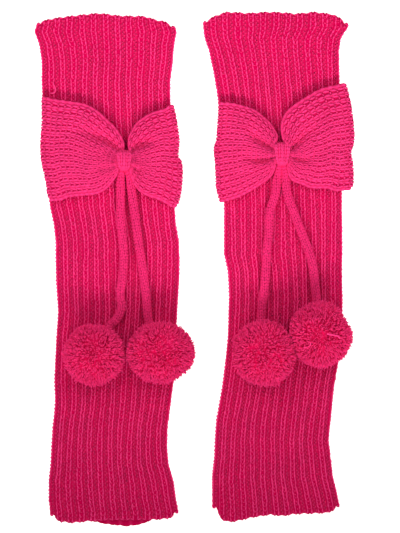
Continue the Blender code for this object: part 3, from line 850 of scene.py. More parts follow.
# %% Shape of a leg
RIBS = 11
AROUND = 2 * RIBS + 2
VALLEY_LOW = 0.9
VALLEY_HIGH = 4.4
CREST_RELIEF = 1.5
WALL = 1.5
HEM_LEVEL = 198.0
HEM_FADE_START = 150.0
HEM_SCALLOP = 1.1
RIB_HALF_WIDTH = 0.34
RIB_SHOULDER = 0.16
GROOVE_HALF_WIDTH = 0.12
GROOVE_SHARE = 0.7
WANDER = (
    # how far in millimetres, radians for each rib, millimetres for each radian
    (0.35, 0.9, 19.0),
    (0.30, 2.3, -31.0),
)
LEG_EDGES = {
    # y, left edge, right edge
    "left": (
        (-194, -115.0, -12.0),
        (-185, -116.0, -14.0),
        (-170, -116.0, -16.0),
        (-156, -114.5, -20.0),
        (-142, -114.0, -21.0),
        (-127, -113.0, -20.5),
        (-108, -111.0, -18.0),
        (-89, -111.5, -15.5),
        (-57, -110.0, -14.5),
        (-34, -108.5, -13.0),
        (-12, -110.0, -11.5),
        (7, -110.5, -11.0),
        (22, -110.5, -11.5),
        (36, -112.0, -14.0),
        (50, -115.0, -15.0),
        (71, -117.5, -15.0),
        (119, -120.5, -18.0),
        (150, -121.5, -18.5),
        (166, -121.5, -16.5),
        (180, -123.5, -15.5),
        (190, -127.5, -13.5),
        (196, -125.8, -15.5),
    ),
    "right": (
        (-194, 15.0, 118.0),
        (-180, 15.0, 115.0),
        (-166, 15.0, 111.5),
        (-151, 16.5, 110.0),
        (-137, 17.0, 108.5),
        (-122, 18.0, 110.0),
        (-108, 20.5, 111.5),
        (-94, 23.0, 113.0),
        (-79, 25.0, 115.5),
        (-55, 27.5, 119.0),
        (-22, 28.5, 119.5),
        (-2, 27.5, 119.0),
        (12, 24.5, 119.5),
        (50, 24.5, 119.0),
        (95, 23.0, 118.5),
        (137, 19.5, 117.5),
        (156, 16.5, 117.0),
        (175, 12.5, 116.5),
        (185, 9.0, 118.0),
        (194, 7.5, 124.0),
    ),
}
HEMS = {
    # share of the way across, y of the top hem, y of the bottom hem
    "left": (
        (0.00, 195.6, -196.0),
        (0.02, 197.2, -199.0),
        (0.05, 198.2, -201.0),
        (0.15, 200.0, -202.0),
        (0.30, 202.0, -200.5),
        (0.45, 203.5, -199.5),
        (0.60, 201.5, -199.5),
        (0.80, 201.0, -199.5),
        (0.90, 198.0, -199.0),
        (0.96, 196.8, -198.0),
        (0.98, 195.2, -197.0),
        (1.00, 193.0, -194.0),
    ),
    "right": (
        (0.00, 196.8, -190.0),
        (0.04, 200.4, -199.0),
        (0.08, 202.0, -201.0),
        (0.15, 204.5, -201.0),
        (0.30, 203.5, -197.5),
        (0.45, 204.5, -195.5),
        (0.55, 204.0, -196.5),
        (0.65, 203.0, -195.0),
        (0.78, 204.5, -194.5),
        (0.92, 202.6, -194.0),
        (0.97, 199.4, -192.0),
        (1.00, 195.5, -189.0),
    ),
}
UNDER_HEM_DROP = {
    # share of the way across, how far the under layer shows below the upper one at the bottom hem
    "left": ((0.30, 0.0), (0.45, 4.0), (0.60, 5.5), (0.72, 4.0), (0.82, 0.0)),
    "right": ((0.0, 0.0), (1.0, 0.0)),
}


def read_table(table, at, column):
    """Values in a table's column at places in its first column, straight between its rows."""
    rows = np.array(table, float)
    return np.interp(at, rows[:, 0], rows[:, column])


def eased(share):
    """A share that leaves 0 and reaches 1 gently."""
    share = np.clip(share, 0.0, 1.0)
    return share * share * (3 - 2 * share)


def ribbing(turn):
    """1 on both shoulders of a rib, less in the groove between them, and 0 in the valleys."""
    from_crest = np.abs(turn % 1.0 - 0.5)
    groove = GROOVE_SHARE * eased((GROOVE_HALF_WIDTH - from_crest) / GROOVE_HALF_WIDTH)
    return eased((RIB_HALF_WIDTH - from_crest) / RIB_SHOULDER) * (1 - groove)


def leg_points(side, turn, level, lift):
    """Places on a leg, from the turn round it in ribs, the level along it and the lift off the valleys."""
    fold_radius = (VALLEY_HIGH - VALLEY_LOW) / 2
    corners = (0, RIBS, RIBS + 1, 2 * RIBS + 1, AROUND)
    turn = turn % AROUND
    across = np.interp(turn, corners, (0, 1, 1, 0, 0))
    angle = np.radians(np.interp(turn, corners, (-90, -90, 90, 90, 270)))
    top = level > 0
    hem = np.where(top, read_table(HEMS[side], across, 1), read_table(HEMS[side], across, 2))
    under = np.clip(-np.sin(angle), 0, 1)
    hem = hem - np.where(top, 0.0, under * read_table(UNDER_HEM_DROP[side], across, 1))
    fade = eased((np.abs(level) - HEM_FADE_START) / (HEM_LEVEL - HEM_FADE_START))
    scallop = HEM_SCALLOP * ribbing(turn) * eased((np.abs(level) - HEM_LEVEL + 8) / 8)
    y = level + fade * (hem - np.sign(level) * HEM_LEVEL) + np.sign(level) * scallop
    left = read_table(LEG_EDGES[side], y, 1)
    right = read_table(LEG_EDGES[side], y, 2)
    wander = sum(far * np.sin(pace * turn + y / length) for far, pace, length in WANDER)
    inset = fold_radius + CREST_RELIEF
    reach = fold_radius + lift
    x = left + inset + across * (right - left - 2 * inset) + reach * np.cos(angle)
    x = x + wander * np.sin(angle) ** 2
    z = (VALLEY_LOW + VALLEY_HIGH) / 2 + reach * np.sin(angle)
    return np.stack([x, y, np.maximum(z, 0.0)], axis=-1)

# %% The cloth of a leg
COURSES = 131
COURSE = 2 * HEM_LEVEL / COURSES
ROWS_OUTSIDE = 66
ROWS_INSIDE = 14
VALLEY_DEPTH = 0.25
VALLEY_SHADE = 0.12
FINE_STEPS = 8
COARSE_STEPS = 4


def leg_turns():
    """Turns round a leg for its grid: close together over the face that shows, wider apart underneath."""
    under = np.arange(0, RIBS, 1 / COARSE_STEPS)
    rest = np.linspace(RIBS, AROUND, (AROUND - RIBS) * FINE_STEPS + 1)
    return np.concatenate([under, rest])


def add_leg_cloth(side):
    """The tube's wall: down its outside, round the hem, and back inside, as one closed grid."""
    outside = np.linspace(-HEM_LEVEL, HEM_LEVEL, ROWS_OUTSIDE + 1)
    inside = np.linspace(HEM_LEVEL, -HEM_LEVEL, ROWS_INSIDE + 1)
    rows = (
        [(level, 1.0, 0.0) for level in outside]
        + [(HEM_LEVEL + 0.9, 0.6, -0.5), (HEM_LEVEL + 0.9, 0.2, -WALL + 0.5)]
        + [(level, 0.0, -WALL) for level in inside]
        + [(-HEM_LEVEL - 0.9, 0.2, -WALL + 0.5), (-HEM_LEVEL - 0.9, 0.6, -0.5), (-HEM_LEVEL, 1.0, 0.0)]
    )
    level, ribbed, offset = (np.array(part)[:, None] for part in zip(*rows))
    turn = leg_turns()[None, :]
    relief = ribbing(turn)
    points = leg_points(side, turn + 0 * level, level + 0 * turn, offset + ribbed * relief * CREST_RELIEF)
    # Painted shade: the cloth under the stitches is coloured shade pink, a little lighter along the
    # valleys' floor.
    from_valley = turn % 1.0 - np.round(turn % 1.0)
    depth = VALLEY_DEPTH * np.exp(-((from_valley / VALLEY_SHADE) ** 2)) + 0 * level
    name = side + "_leg_cloth"
    return finish_piece(cloth_mesh(name, points, depth), name, "rib_knit", [side + "_leg"])


leg_cloths = {side: add_leg_cloth(side) for side in ("left", "right")}
print("a leg's cloth has", face_count([leg_cloths["left"]]), "faces")

# %% [markdown]
# The knit columns come next. Both legs of each stitch lie nearly along the rib, dive into the cloth at
# their ends and leave a small hole between them, which a bridge of yarn closes once in each course. The
# upper face gets the finer petal. In the valleys the purl side shows the heads and feet of its loops, as
# low bumps in two staggered columns.
#
# Every stitch is a little off its place and size, because hand and machine never pull yarn evenly.

# %% Stitches on the ribs
UPPER_RIBS = RIBS + 1 + np.arange(RIBS) + 0.5
SIDE_RIBS = np.array((RIBS + 0.5, AROUND - 0.5))
UNDER_RIBS = np.arange(RIBS) + 0.5
RIB_STITCHES = {
    # piece: petal, ribs, how far its legs stand from the crest, their width, length and height, lift, slant
    "stitches": (FINE_PETAL, [*UPPER_RIBS, *SIDE_RIBS], 0.178, (1.6, 5.0, 1.7), 1.3, 0.12),
    "under_stitches": (SPARE_PETAL, UNDER_RIBS, 0.155, (1.8, 4.3, 1.4), 0.5, 0.15),
}


def on_leg(side, turn, level, lift, steps=(0.04, 1.0)):
    """Places on a leg, with the directions round it, up it and outwards."""
    return directions(lambda turn, level: leg_points(side, turn, level, lift), turn, level, *steps)


def add_leg_stitches(side, part, shape, ribs, offset, size, lift, slant):
    """Petals in pairs along ribs of a leg."""
    course, rib, hand = every(np.arange(COURSES), ribs, (-1, 1))
    count = course.size
    level = -HEM_LEVEL + (course + 0.5) * COURSE + dice.normal(0, 0.22, count)
    turn = rib + hand * offset + dice.normal(0, 0.018, count)
    middle, round_way, up_way, outward = on_leg(side, turn, level, lift)
    across, along = slanted(-round_way, up_way, -hand * slant + dice.normal(0, 0.07, count))
    scale = 1 + dice.normal(0, 0.11, (count, 1))
    axes = across * size[0] * scale, along * size[1], outward * size[2] * scale
    return add_copies(f"{side}_leg_{part}", "rib_knit", shape, middle, axes, 0.0)


leg_details = {"left": [loose_yarn["left_leg_tail"]], "right": []}
for side, details in leg_details.items():
    details += [add_leg_stitches(side, part, *values) for part, values in RIB_STITCHES.items()]
    print(side, "leg's stitches have", face_count(details[-2:]), "triangles")

# %% Yarn that runs across the columns
VALLEYS = RIBS + 1 + np.arange(RIBS + 1)
PURL_OFFSET = 0.07
CROSS_BUMPS = {
    # piece: columns, lift, length up the leg, length across it and height, depths of foot and top for
    # painted shade
    "purl_heads": (VALLEYS - PURL_OFFSET, 0.25, (2.5, 2.3, 1.0), (0.05, 0.72)),
    "purl_feet": (VALLEYS + PURL_OFFSET, 0.25, (2.5, 2.3, 1.0), (0.05, 0.72)),
    "bridges": (UPPER_RIBS, 0.9, (1.4, 2.7, 1.5), (0.0, 0.95)),
}


def add_cross_bumps(side, part, columns, lift, size, depths):
    """A bump of yarn across each column, once in each course. The heads lie half a course lower."""
    course, column = every(np.arange(COURSES), columns)
    count = course.size
    drop = np.where(column % 1.0 > 0.5, COURSE / 2, 0.0)
    level = -HEM_LEVEL + (course + 1.0) * COURSE - drop + dice.normal(0, 0.2, count)
    turn = column + dice.normal(0, 0.015, count)
    middle, round_way, up_way, outward = on_leg(side, turn, np.minimum(level, HEM_LEVEL - COURSE / 2), lift)
    length = size[0] * (1 + dice.normal(0, 0.15, (count, 1)))
    axes = up_way * length, round_way * size[1], outward * size[2]
    return add_copies(f"{side}_leg_{part}", "rib_knit", SPARE_PETAL, middle, axes, 0.0, depths)


for side, details in leg_details.items():
    details += [add_cross_bumps(side, part, *values) for part, values in CROSS_BUMPS.items()]
    print(side, "leg's cross bumps have", face_count(details[-3:]), "triangles")

# %% Side seams and hem edges
SEAM_END_COURSES = 3
SEAM_TILT = (0.5, -0.8)
SEAM_PETAL = (1.6, 4.2, 1.9)
HEM_PETAL = (1.5, 4.8, 1.7)
HEM_SINK = 0.6


def add_seam(side):
    """The sewn side seam on the left fold: short stitches over the edge, one for each course."""
    course = np.arange(SEAM_END_COURSES, COURSES - SEAM_END_COURSES)
    level = -HEM_LEVEL + (course + 0.5) * COURSE
    turn = np.full(course.size, AROUND - 0.5)
    middle, round_way, up_way, outward = on_leg(side, turn, level, CREST_RELIEF * 0.8)
    tilted = unit(up_way * SEAM_TILT[0] + round_way * SEAM_TILT[1])
    width, length, height = SEAM_PETAL
    heights = height + dice.normal(0, 0.25, (course.size, 1))
    axes = np.cross(tilted, outward) * width, tilted * length, outward * heights
    return add_copies(side + "_leg_seam", "rib_knit", FINE_PETAL, middle, axes, 0.0)


def add_hem_edges(side):
    """The chain of loops that binds both hems."""
    turn, end = every(np.arange(2 * AROUND) / 2 + 0.25, (-1, 1))
    lift = ribbing(turn) * CREST_RELIEF - HEM_SINK
    middle, round_way, _, outward = on_leg(side, turn, end * (HEM_LEVEL + 0.2), lift, (0.2, 0.5))
    width, length, height = HEM_PETAL
    axes = np.cross(round_way, outward) * width, round_way * length, outward * height
    return add_copies(side + "_leg_hem_edges", "rib_knit", FINE_PETAL, middle, axes, 0.0)


for side, details in leg_details.items():
    details += [add_seam(side), add_hem_edges(side)]

# %% [markdown]
# ## The bows
#
# A bow is one wide band in plain knit, turned sideways, so that its columns of stitches run across the
# leg and draw together at the knot. The band is looped: a back layer, a front layer and a soft fold at
# each end. Gathered at the middle, the front layer stands up in soft ridges with creases between them.
#
# A cloth simulation could find such folds, but it would not put them where they are in the photograph.
# The outline of each lobe is read from the photograph instead, a dozen places on each side, and the
# ridges are raised on it.

# %% Outlines of the lobes
BOW_CENTRES = {"left": (-55.2, 86.8), "right": (70.8, 92.0)}
KNOT_HALF = {"left": (5.6, 7.2), "right": (6.0, 8.4)}
BOW_OUTLINES = {
    # x, y about the knot's centre: top edge and bottom edge from the knot outwards, end from bottom to top
    ("left", -1): (
        (
            (-3.6, 5.4), (-0.8, 9.0), (-0.6, 14.0), (-2.8, 19.3), (-7.1, 26.0), (-13.2, 31.8),
            (-20.4, 38.5), (-27.6, 43.1), (-36.4, 46.0), (-54.0, 48.4), (-65.5, 50.5),
        ),
        (
            (-4.8, -5.4), (-6.0, -11.2), (-9.2, -16.4), (-14.4, -22.5), (-21.7, -26.5),
            (-30.8, -27.8), (-45.6, -29.2), (-51.0, -31.4), (-58.5, -32.2),
        ),
        (
            (-58.5, -32.2), (-60.9, -27.6), (-62.2, -18.0), (-64.8, -6.0),
            (-66.2, 2.0), (-66.5, 14.0), (-65.5, 30.8), (-65.5, 50.5),
        ),
    ),
    ("left", 1): (
        (
            (4.6, 5.4), (4.0, 9.0), (3.4, 14.5), (4.0, 19.4), (7.0, 24.9),
            (10.0, 29.8), (17.4, 35.3), (25.4, 39.0), (32.7, 40.8), (38.8, 44.0),
        ),
        (
            (4.8, -5.4), (4.9, -8.8), (6.4, -14.8), (8.9, -20.4), (13.2, -25.2),
            (19.3, -28.4), (25.4, -30.2), (31.6, -32.6), (40.5, -37.4),
        ),
        (
            (40.5, -37.4), (43.1, -33.2), (45.0, -24.1), (46.0, -11.6), (45.2, -1.2),
            (42.6, 3.8), (43.4, 15.6), (42.0, 27.9), (38.8, 44.0),
        ),
    ),
    ("right", -1): (
        (
            (-5.0, 6.4), (-5.2, 9.0), (-4.0, 14.2), (-6.4, 19.7), (-10.4, 25.2),
            (-15.2, 29.6), (-21.3, 34.4), (-26.7, 36.8), (-40.8, 40.5), (-50.0, 41.0),
        ),
        (
            (-5.2, -6.4), (-6.4, -11.6), (-8.4, -17.0), (-13.9, -22.0),
            (-21.3, -26.9), (-28.8, -31.2), (-36.8, -34.8), (-49.4, -38.2),
        ),
        (
            (-49.4, -38.2), (-52.2, -26.4), (-52.5, -20.0), (-53.0, -8.0),
            (-54.0, 4.3), (-52.2, 10.4), (-51.5, 17.8), (-50.0, 41.0),
        ),
    ),
    ("right", 1): (
        (
            (5.0, 6.4), (1.4, 10.4), (-0.6, 17.3), (-0.8, 24.2), (1.6, 31.2),
            (5.6, 36.0), (12.0, 40.8), (18.4, 44.8), (32.3, 52.2), (50.7, 56.0),
        ),
        (
            (5.2, -6.4), (4.4, -12.0), (6.1, -19.0), (10.0, -22.4), (15.2, -24.0),
            (21.3, -26.8), (28.0, -27.6), (36.8, -27.6), (44.0, -29.6), (53.8, -28.8),
        ),
        (
            (53.8, -28.8), (56.2, -24.2), (56.4, -15.5), (56.0, -6.8), (54.6, 0.8),
            (56.6, 8.0), (57.1, 17.3), (54.8, 37.9), (50.7, 56.0),
        ),
    ),
}
BOW_CREASES = {
    # place between the bottom and top edges at the knot and where it fades, how far out it runs, depth
    ("left", -1): ((0.87, 0.66, 0.90, 1.0), (0.20, 0.34, 0.45, 0.3)),
    ("left", 1): ((0.86, 0.62, 0.85, 1.0), (0.18, 0.26, 0.35, 0.7)),
    ("right", -1): ((0.30, 0.44, 0.70, 0.9), (0.66, 0.76, 0.80, 0.9)),
    ("right", 1): ((0.68, 0.73, 0.70, 0.9), (0.34, 0.37, 0.60, 0.7)),
}
BOW_SECTIONS = (
    # share of the way from the knot to the end, lift of the back layer, room inside
    (0.00, 2.5, 3.6),
    (0.06, 1.3, 6.2),
    (0.15, 0.0, 8.0),
    (0.30, 0.0, 8.5),
    (0.55, 0.0, 7.0),
    (0.78, 0.0, 4.5),
    (1.00, 0.0, 2.0),
)
BOW_LAYERS = 2 * 2.2 + 0.5
BOW_SINK = 0.6
CREASE_HALF_WIDTH = 0.072
CREASE_DEPTH = 0.92


def bow_heights(side, hand, out, share):
    """Heights of the back layer's lower face and the front layer's upper face."""
    swell = (4 * share * (1 - share)) ** 0.4
    for at_knot, at_fade, run, strength in BOW_CREASES[side, hand]:
        place = at_knot + (at_fade - at_knot) * np.clip(out / run, 0, 1)
        depth = CREASE_DEPTH * strength * eased((run - out) / (0.75 * run))
        swell = swell * (1 - depth * np.exp(-(((share - place) / CREASE_HALF_WIDTH) ** 2)))
    low = REST_LEVEL + read_table(BOW_SECTIONS, out, 1)
    return low, low + BOW_LAYERS + read_table(BOW_SECTIONS, out, 2) * swell - BOW_SINK


def bent(start, middle, end, share):
    """Values on a parabola from a start over a middle to an end."""
    return (
        start * (2 * share - 1) * (share - 1)
        + middle * 4 * share * (1 - share)
        + end * share * (2 * share - 1)
    )


def lobe_plan(side, hand, out, share, inset):
    """x and y on a lobe, from the share of the way out of the knot and of the way up."""
    top, bottom, end = (smooth_line(edge) for edge in BOW_OUTLINES[side, hand])
    top_points = read_line(top, out)
    bottom_points = read_line(bottom, out)
    end_points = read_line(end, share)
    knot_x = hand * (KNOT_HALF[side][0] - 0.4)
    end_middle = read_line(end, 0.5)[0]
    middle_x = knot_x + out * (end_middle - knot_x)
    x = bent(bottom_points[..., 0], middle_x, top_points[..., 0], share)
    y = bottom_points[..., 1] + share * (top_points[..., 1] - bottom_points[..., 1])
    near_end = out**3
    x = x + near_end * (end_points[..., 0] - bent(bottom[-1][0], end_middle, top[-1][0], share))
    x = x - hand * inset * out**2
    y = y + near_end * (end_points[..., 1] - (bottom[-1][1] + share * (top[-1][1] - bottom[-1][1])))
    return x + BOW_CENTRES[side][0], y + BOW_CENTRES[side][1]


def bow_points(side, loop, share, inward):
    """Places on a bow. Loop reaches 1 on the back, 2 at the right end, 3 on the front, 4 at the left."""
    loop, share, inward = np.broadcast_arrays(loop % 4.0, share, inward)
    points = np.zeros((*loop.shape, 3))
    place = np.interp(loop, range(5), (-1, 1, 1, -1, -1))
    angle = np.radians(np.interp(loop, range(5), (-90, -90, 90, 90, 270)))
    for hand in (-1, 1):
        mine = place * hand >= 0
        out = np.abs(place[mine])
        shares = np.clip(share[mine], 0, 1)
        low, high = bow_heights(side, hand, out, shares)
        end_low, end_high = bow_heights(side, hand, np.ones_like(out), shares)
        radius = (end_high - end_low) / 2
        x, y = lobe_plan(side, hand, out, shares, radius)
        reach = radius - inward[mine]
        z = (low + high) / 2 + ((high - low) / 2 - inward[mine]) * np.sin(angle[mine])
        points[mine] = np.stack([x + reach * np.cos(angle[mine]), y, z], axis=-1)
    return points


print("left bow spans", np.ptp(bow_points("left", np.linspace(0, 4, 200), 0.5, 0.0)[:, 0]).round(1), "mm")

# %% The band of a bow
BOW_WALES = 15
BOW_MARGIN = 0.03
FRONT_STEPS = 96
BACK_STEPS = 40
END_STEPS = 6
BOW_ROWS = 69
BOW_WALL = 1.9


def loop_marks():
    """Loop values, close together on the front layer and on the ends."""
    back = np.linspace(0, 1, BACK_STEPS, endpoint=False)
    right_end = np.linspace(1, 2, END_STEPS, endpoint=False)
    front = np.linspace(2, 3, FRONT_STEPS, endpoint=False)
    left_end = np.linspace(3, 4, END_STEPS + 1)
    return np.concatenate([back, right_end, front, left_end])


def add_bow_cloth(side):
    """The looped band's wall, outside and inside, as one closed grid."""
    outside = [(share, 0.0) for share in np.linspace(0, 1, BOW_ROWS)]
    inside = [(share, BOW_WALL) for share in np.linspace(1, 0, BOW_ROWS // 2)]
    share, inward = (np.array(part)[:, None] for part in zip(*[*outside, *inside, (0.0, 0.0)]))
    loop = loop_marks()[None, :]
    grooves = 0.5 - 0.5 * np.cos(math.tau * (share - BOW_MARGIN) / (1 - 2 * BOW_MARGIN) * BOW_WALES)
    outer = inward == 0.0
    points = bow_points(side, loop, share, inward + np.where(outer, 0.2 + 0.35 * grooves, 0.0))
    # Painted shade: the cloth is coloured darker in the sunk grooves between a stitch's legs, and on the
    # inside.
    depth = np.where(outer, 0.6 - 0.6 * grooves, 0.2) + 0 * loop
    name = side + "_bow_cloth"
    return finish_piece(cloth_mesh(name, points, depth), name, "bow_knit", [side + "_bow"])


bow_cloths = {side: add_bow_cloth(side) for side in ("left", "right")}
print("a bow's band has", face_count([bow_cloths["left"]]), "faces")

# %% [markdown]
# Plain knit curls at its edges, so the band's top and bottom show as a narrow roll with a chain of loops
# over it. The roll is a grid bent into a tube along each edge, all the way round the loop.
#
# The stitches of the band lie in columns from the knot outwards. Between a stitch's two legs the cloth
# is sunk and painted shade pink, so a dark dash shows, and bridges of yarn part one dash from the next.

# %% Rolled edges
ROLL_RADIUS = 1.25
ROLL_SIDES = 8
# Painted shade: the roll is coloured part way to the shade pink.
ROLL_DEPTH = 0.6
ROLLS = {
    # edge: share of the way across where its roll lies, and a place further in
    "top": (0.985, 0.95),
    "bottom": (0.015, 0.05),
}


def add_roll(side, edge, share, inner_share):
    """A roll of cloth along an edge of a bow, all the way round its loop."""
    loop = loop_marks()
    line = bow_points(side, loop, share, BOW_WALL / 2)
    line[-1] = line[0]
    ahead = unit(np.roll(line[:-1], -1, axis=0) - np.roll(line[:-1], 1, axis=0))
    ahead = np.vstack([ahead, ahead[:1]])
    inwards = bow_points(side, loop, inner_share, BOW_WALL / 2) - line
    inwards = unit(inwards - ahead * (inwards * ahead).sum(-1, keepdims=True))
    ripple = 1 + 0.05 * np.sin(np.arange(len(loop)) * 1.9)[:, None, None]
    points = rolled(line, inwards, np.cross(ahead, inwards), ROLL_RADIUS * ripple, ROLL_SIDES)
    name = f"{side}_bow_{edge}_roll"
    return finish_piece(cloth_mesh(name, points, np.full(points.shape[:2], ROLL_DEPTH)), name, "bow_knit")


bow_details = {}
for side in bow_cloths:
    bow_details[side] = [add_roll(side, edge, *shares) for edge, shares in ROLLS.items()]
print("a bow's rolled edges have", face_count(bow_details["left"]), "faces")

# %% Stitches of the bows
BOW_COURSE = 4.0
BOW_STEP = (1 - 2 * BOW_MARGIN) / BOW_WALES
BOW_HAND = 0.29
BOW_SLANT = 0.15
BOW_PETAL_WIDTH = (0.41, 2.3)  # share of its column, and at most in millimetres
BOW_PETAL_LENGTH = 1.6 * BOW_COURSE
BOW_PETAL_HEIGHT = 1.6
BRIDGE_WIDTH = (0.60, 3.2)  # share of its column, and at most in millimetres
BRIDGE_LENGTH = 0.58 * BOW_COURSE
BRIDGE_HEIGHT = 1.7
SELVEDGE_SHARES = (0.012, 0.988)
SELVEDGE_PETAL = (3.4, 6.2, 2.2)
SELVEDGE_SINK = 0.2


def on_bow(side, loop, share, inward):
    """Places on a bow, with the directions along its columns, across them and outwards."""
    return directions(lambda loop, share: bow_points(side, loop, share, inward), loop, share, 0.01, 0.01)


def column_width(side, loop, share, inward):
    """How wide a column of stitches is at places on a bow."""
    edges = [bow_points(side, loop, share + hand * BOW_STEP / 2, inward) for hand in (1, -1)]
    return np.linalg.norm(edges[0] - edges[1], axis=1)[:, None]


def bow_loops(side, first, last):
    """Close loop values along a bow's middle, and how far round the bow each one is."""
    loop = np.linspace(first, last, 900)
    return loop, line_lengths(bow_points(side, loop, 0.5, 0.0))


def bow_courses(side, shift):
    """Loop values of the courses over a bow's front and round its ends, moved on by a share of a course."""
    fine, lengths = bow_loops(side, 1.15, 3.85)
    courses = round(lengths[-1] / BOW_COURSE)
    return np.interp((np.arange(courses) + shift) / courses * lengths[-1], lengths, fine)


def add_bow_stitches(side):
    """Petals in columns along the band, over its front and round both ends."""
    loop, wale, hand = every(bow_courses(side, 0.5), np.arange(BOW_WALES), (-1, 1))
    count = loop.size
    share = BOW_MARGIN + (wale + 0.5 + hand * BOW_HAND) * BOW_STEP + dice.normal(0, 0.03 * BOW_STEP, count)
    middle, along, across, outward = on_bow(side, loop, share, -0.1)
    across, along = slanted(across, along, hand * BOW_SLANT + dice.normal(0, 0.06, count))
    size = 1 + dice.normal(0, 0.09, (count, 1))
    width = np.minimum(column_width(side, loop, share, -0.1) * BOW_PETAL_WIDTH[0], BOW_PETAL_WIDTH[1])
    axes = across * width * size, along * BOW_PETAL_LENGTH, outward * BOW_PETAL_HEIGHT * size
    return add_copies(side + "_bow_stitches", "bow_knit", FINE_PETAL, middle, axes)


def add_bow_bridges(side):
    """Yarn that closes each loop between its two legs, and leaves a dark dash beside it."""
    loop, wale = every(bow_courses(side, 1.0), np.arange(BOW_WALES))
    share = BOW_MARGIN + (wale + 0.5) * BOW_STEP
    middle, along, across, outward = on_bow(side, loop, share, 0.0)
    length = BRIDGE_LENGTH * (1 + dice.normal(0, 0.14, (loop.size, 1)))
    width = np.minimum(column_width(side, loop, share, 0.0) * BRIDGE_WIDTH[0], BRIDGE_WIDTH[1])
    axes = along * -length, across * width, outward * BRIDGE_HEIGHT
    return add_copies(side + "_bow_bridges", "bow_knit", SPARE_PETAL, middle, axes, depths=(0.4, 1.0))


def add_selvedges(side):
    """The smooth chain of loops that closes both edges of the band."""
    fine, lengths = bow_loops(side, 0.0, 4.0)
    loops = np.interp(np.arange(0.5, lengths[-1], BOW_COURSE), lengths, fine)
    loop, share = every(loops, SELVEDGE_SHARES)
    middle, along, across, outward = on_bow(side, loop, share, SELVEDGE_SINK)
    width, length, height = SELVEDGE_PETAL
    axes = across * width, along * length, outward * height
    return add_copies(side + "_bow_selvedges", "bow_knit", FINE_PETAL, middle, axes)


for side, details in bow_details.items():
    details += [add_bow_stitches(side), add_bow_bridges(side), add_selvedges(side)]
print("a bow's stitches, bridges and selvedges have", face_count(bow_details["left"][-3:]), "triangles")

# %% [markdown]
# ## The knots
#
# A short band of the same knit is wrapped tightly round the bow's waist and sewn to the leg. It is
# modelled like the legs: a closed wall from one grid, with smaller and tighter petals over it.

# %% Wrapped knots
KNOT_TOP = 18.4
KNOT_WALL = 1.6
KNOT_PROUD = 0.6
KNOT_ROUNDING = 0.22
KNOT_WAIST = (0.12, 0.20)
KNOT_COURSE_SHARE = 0.92
KNOT_WALES = 4
KNOT_COURSE = 2.6
KNOT_HAND = 0.24
KNOT_SLANT = 0.28
KNOT_EDGE = 0.93
KNOT_PETAL = (1.8, 1.5 * KNOT_COURSE, 1.0)
PLEAT_HEIGHT = 0.9
PLEAT_PITCH = 8.5
KNOT_ROWS = 17
KNOT_INNER_ROWS = 7
KNOT_TURNS = 48


def knot_points(side, turn, across, inward):
    """Places on a knot: the turn goes once round the waist, across runs from -1 to 1."""
    turn, across, inward = np.broadcast_arrays(turn, across, inward)
    half_width, half_length = (half + KNOT_PROUD for half in KNOT_HALF[side])
    half_height = (KNOT_TOP - REST_LEVEL) / 2
    sine, cosine = np.sin(math.tau * turn), np.cos(math.tau * turn)
    corner = (np.abs(sine) ** 3 + np.abs(cosine) ** 3) ** (-1 / 3)
    rounding = 1 - KNOT_ROUNDING * np.abs(across) ** 3
    waist = 1 - KNOT_WAIST[0] * np.abs(cosine) ** 2 + KNOT_WAIST[1] * cosine
    pleat = PLEAT_HEIGHT * np.cos(across * PLEAT_PITCH) * np.clip(sine, 0, 1)
    x = across * half_width * waist
    y = (half_length * rounding - inward) * cosine * corner
    z = (half_height * rounding - inward) * sine * corner
    centre_x, centre_y = BOW_CENTRES[side]
    return np.stack([centre_x + x, centre_y + y, REST_LEVEL + half_height + z + pleat], axis=-1)


def add_knot(side):
    """A knot's wall, outside and inside, and its stitches."""
    outside = np.linspace(-1, 1, KNOT_ROWS)
    inside = np.linspace(0.9, -0.9, KNOT_INNER_ROWS)
    across = np.concatenate([outside, inside, [-1]])[:, None]
    inward = np.concatenate([0 * outside, KNOT_WALL + 0 * inside, [0]])[:, None]
    turn = np.linspace(0, 1, KNOT_TURNS + 1)[None, :]
    points = knot_points(side, turn, across, inward)
    points[:, -1] = points[:, 0]
    # Painted shade: the pleats' hollows are coloured darker and their ridges lighter.
    depth = 0.5 + 0.4 * np.cos(across * PLEAT_PITCH) + 0 * turn
    name = side + "_knot_band"
    band = finish_piece(cloth_mesh(name, points, depth), name, "knot_knit", [side + "_knot"])
    return band, add_knot_stitches(side)


def add_knot_stitches(side):
    """Small tight petals over a knot."""
    way_round = 4 * KNOT_HALF[side][1] + 2 * (KNOT_TOP - REST_LEVEL)
    courses = round(way_round * KNOT_COURSE_SHARE / KNOT_COURSE)
    course, wale, hand = every(np.arange(courses), np.arange(KNOT_WALES), (-1, 1))
    count = course.size
    turn = (course + 0.5) / courses + dice.normal(0, 0.002, count)
    place = (wale + 0.5 + hand * KNOT_HAND) / KNOT_WALES
    across = -KNOT_EDGE + 2 * KNOT_EDGE * place + dice.normal(0, 0.01, count)
    middle, sideways, along, outward = directions(
        lambda across, turn: knot_points(side, turn, across, -0.1), across, turn, 0.05, 0.01
    )
    across, along = slanted(-sideways, along, -hand * KNOT_SLANT + dice.normal(0, 0.05, count))
    width, length, height = KNOT_PETAL
    axes = across * width, along * length, outward * height
    name = side + "_knot_stitches"
    return add_copies(name, "knot_knit", FINE_PETAL, middle, axes, REST_LEVEL, (0.6, 1.0))


knots = {side: add_knot(side) for side in ("left", "right")}
print("a knot's band and stitches have", face_count(knots["left"]), "faces")

# %% [markdown]
# ## Table and lights
#
# The pair lies on a plain white table. In the photograph the bows and pompoms throw soft shadows up the
# legs, and yet the tops are brighter than the lower hems. So four soft spots stand beyond the lower hems,
# like panes of a window, and aim past the middle of the pair. A panel over the tops and a pale sky fill
# the rest.

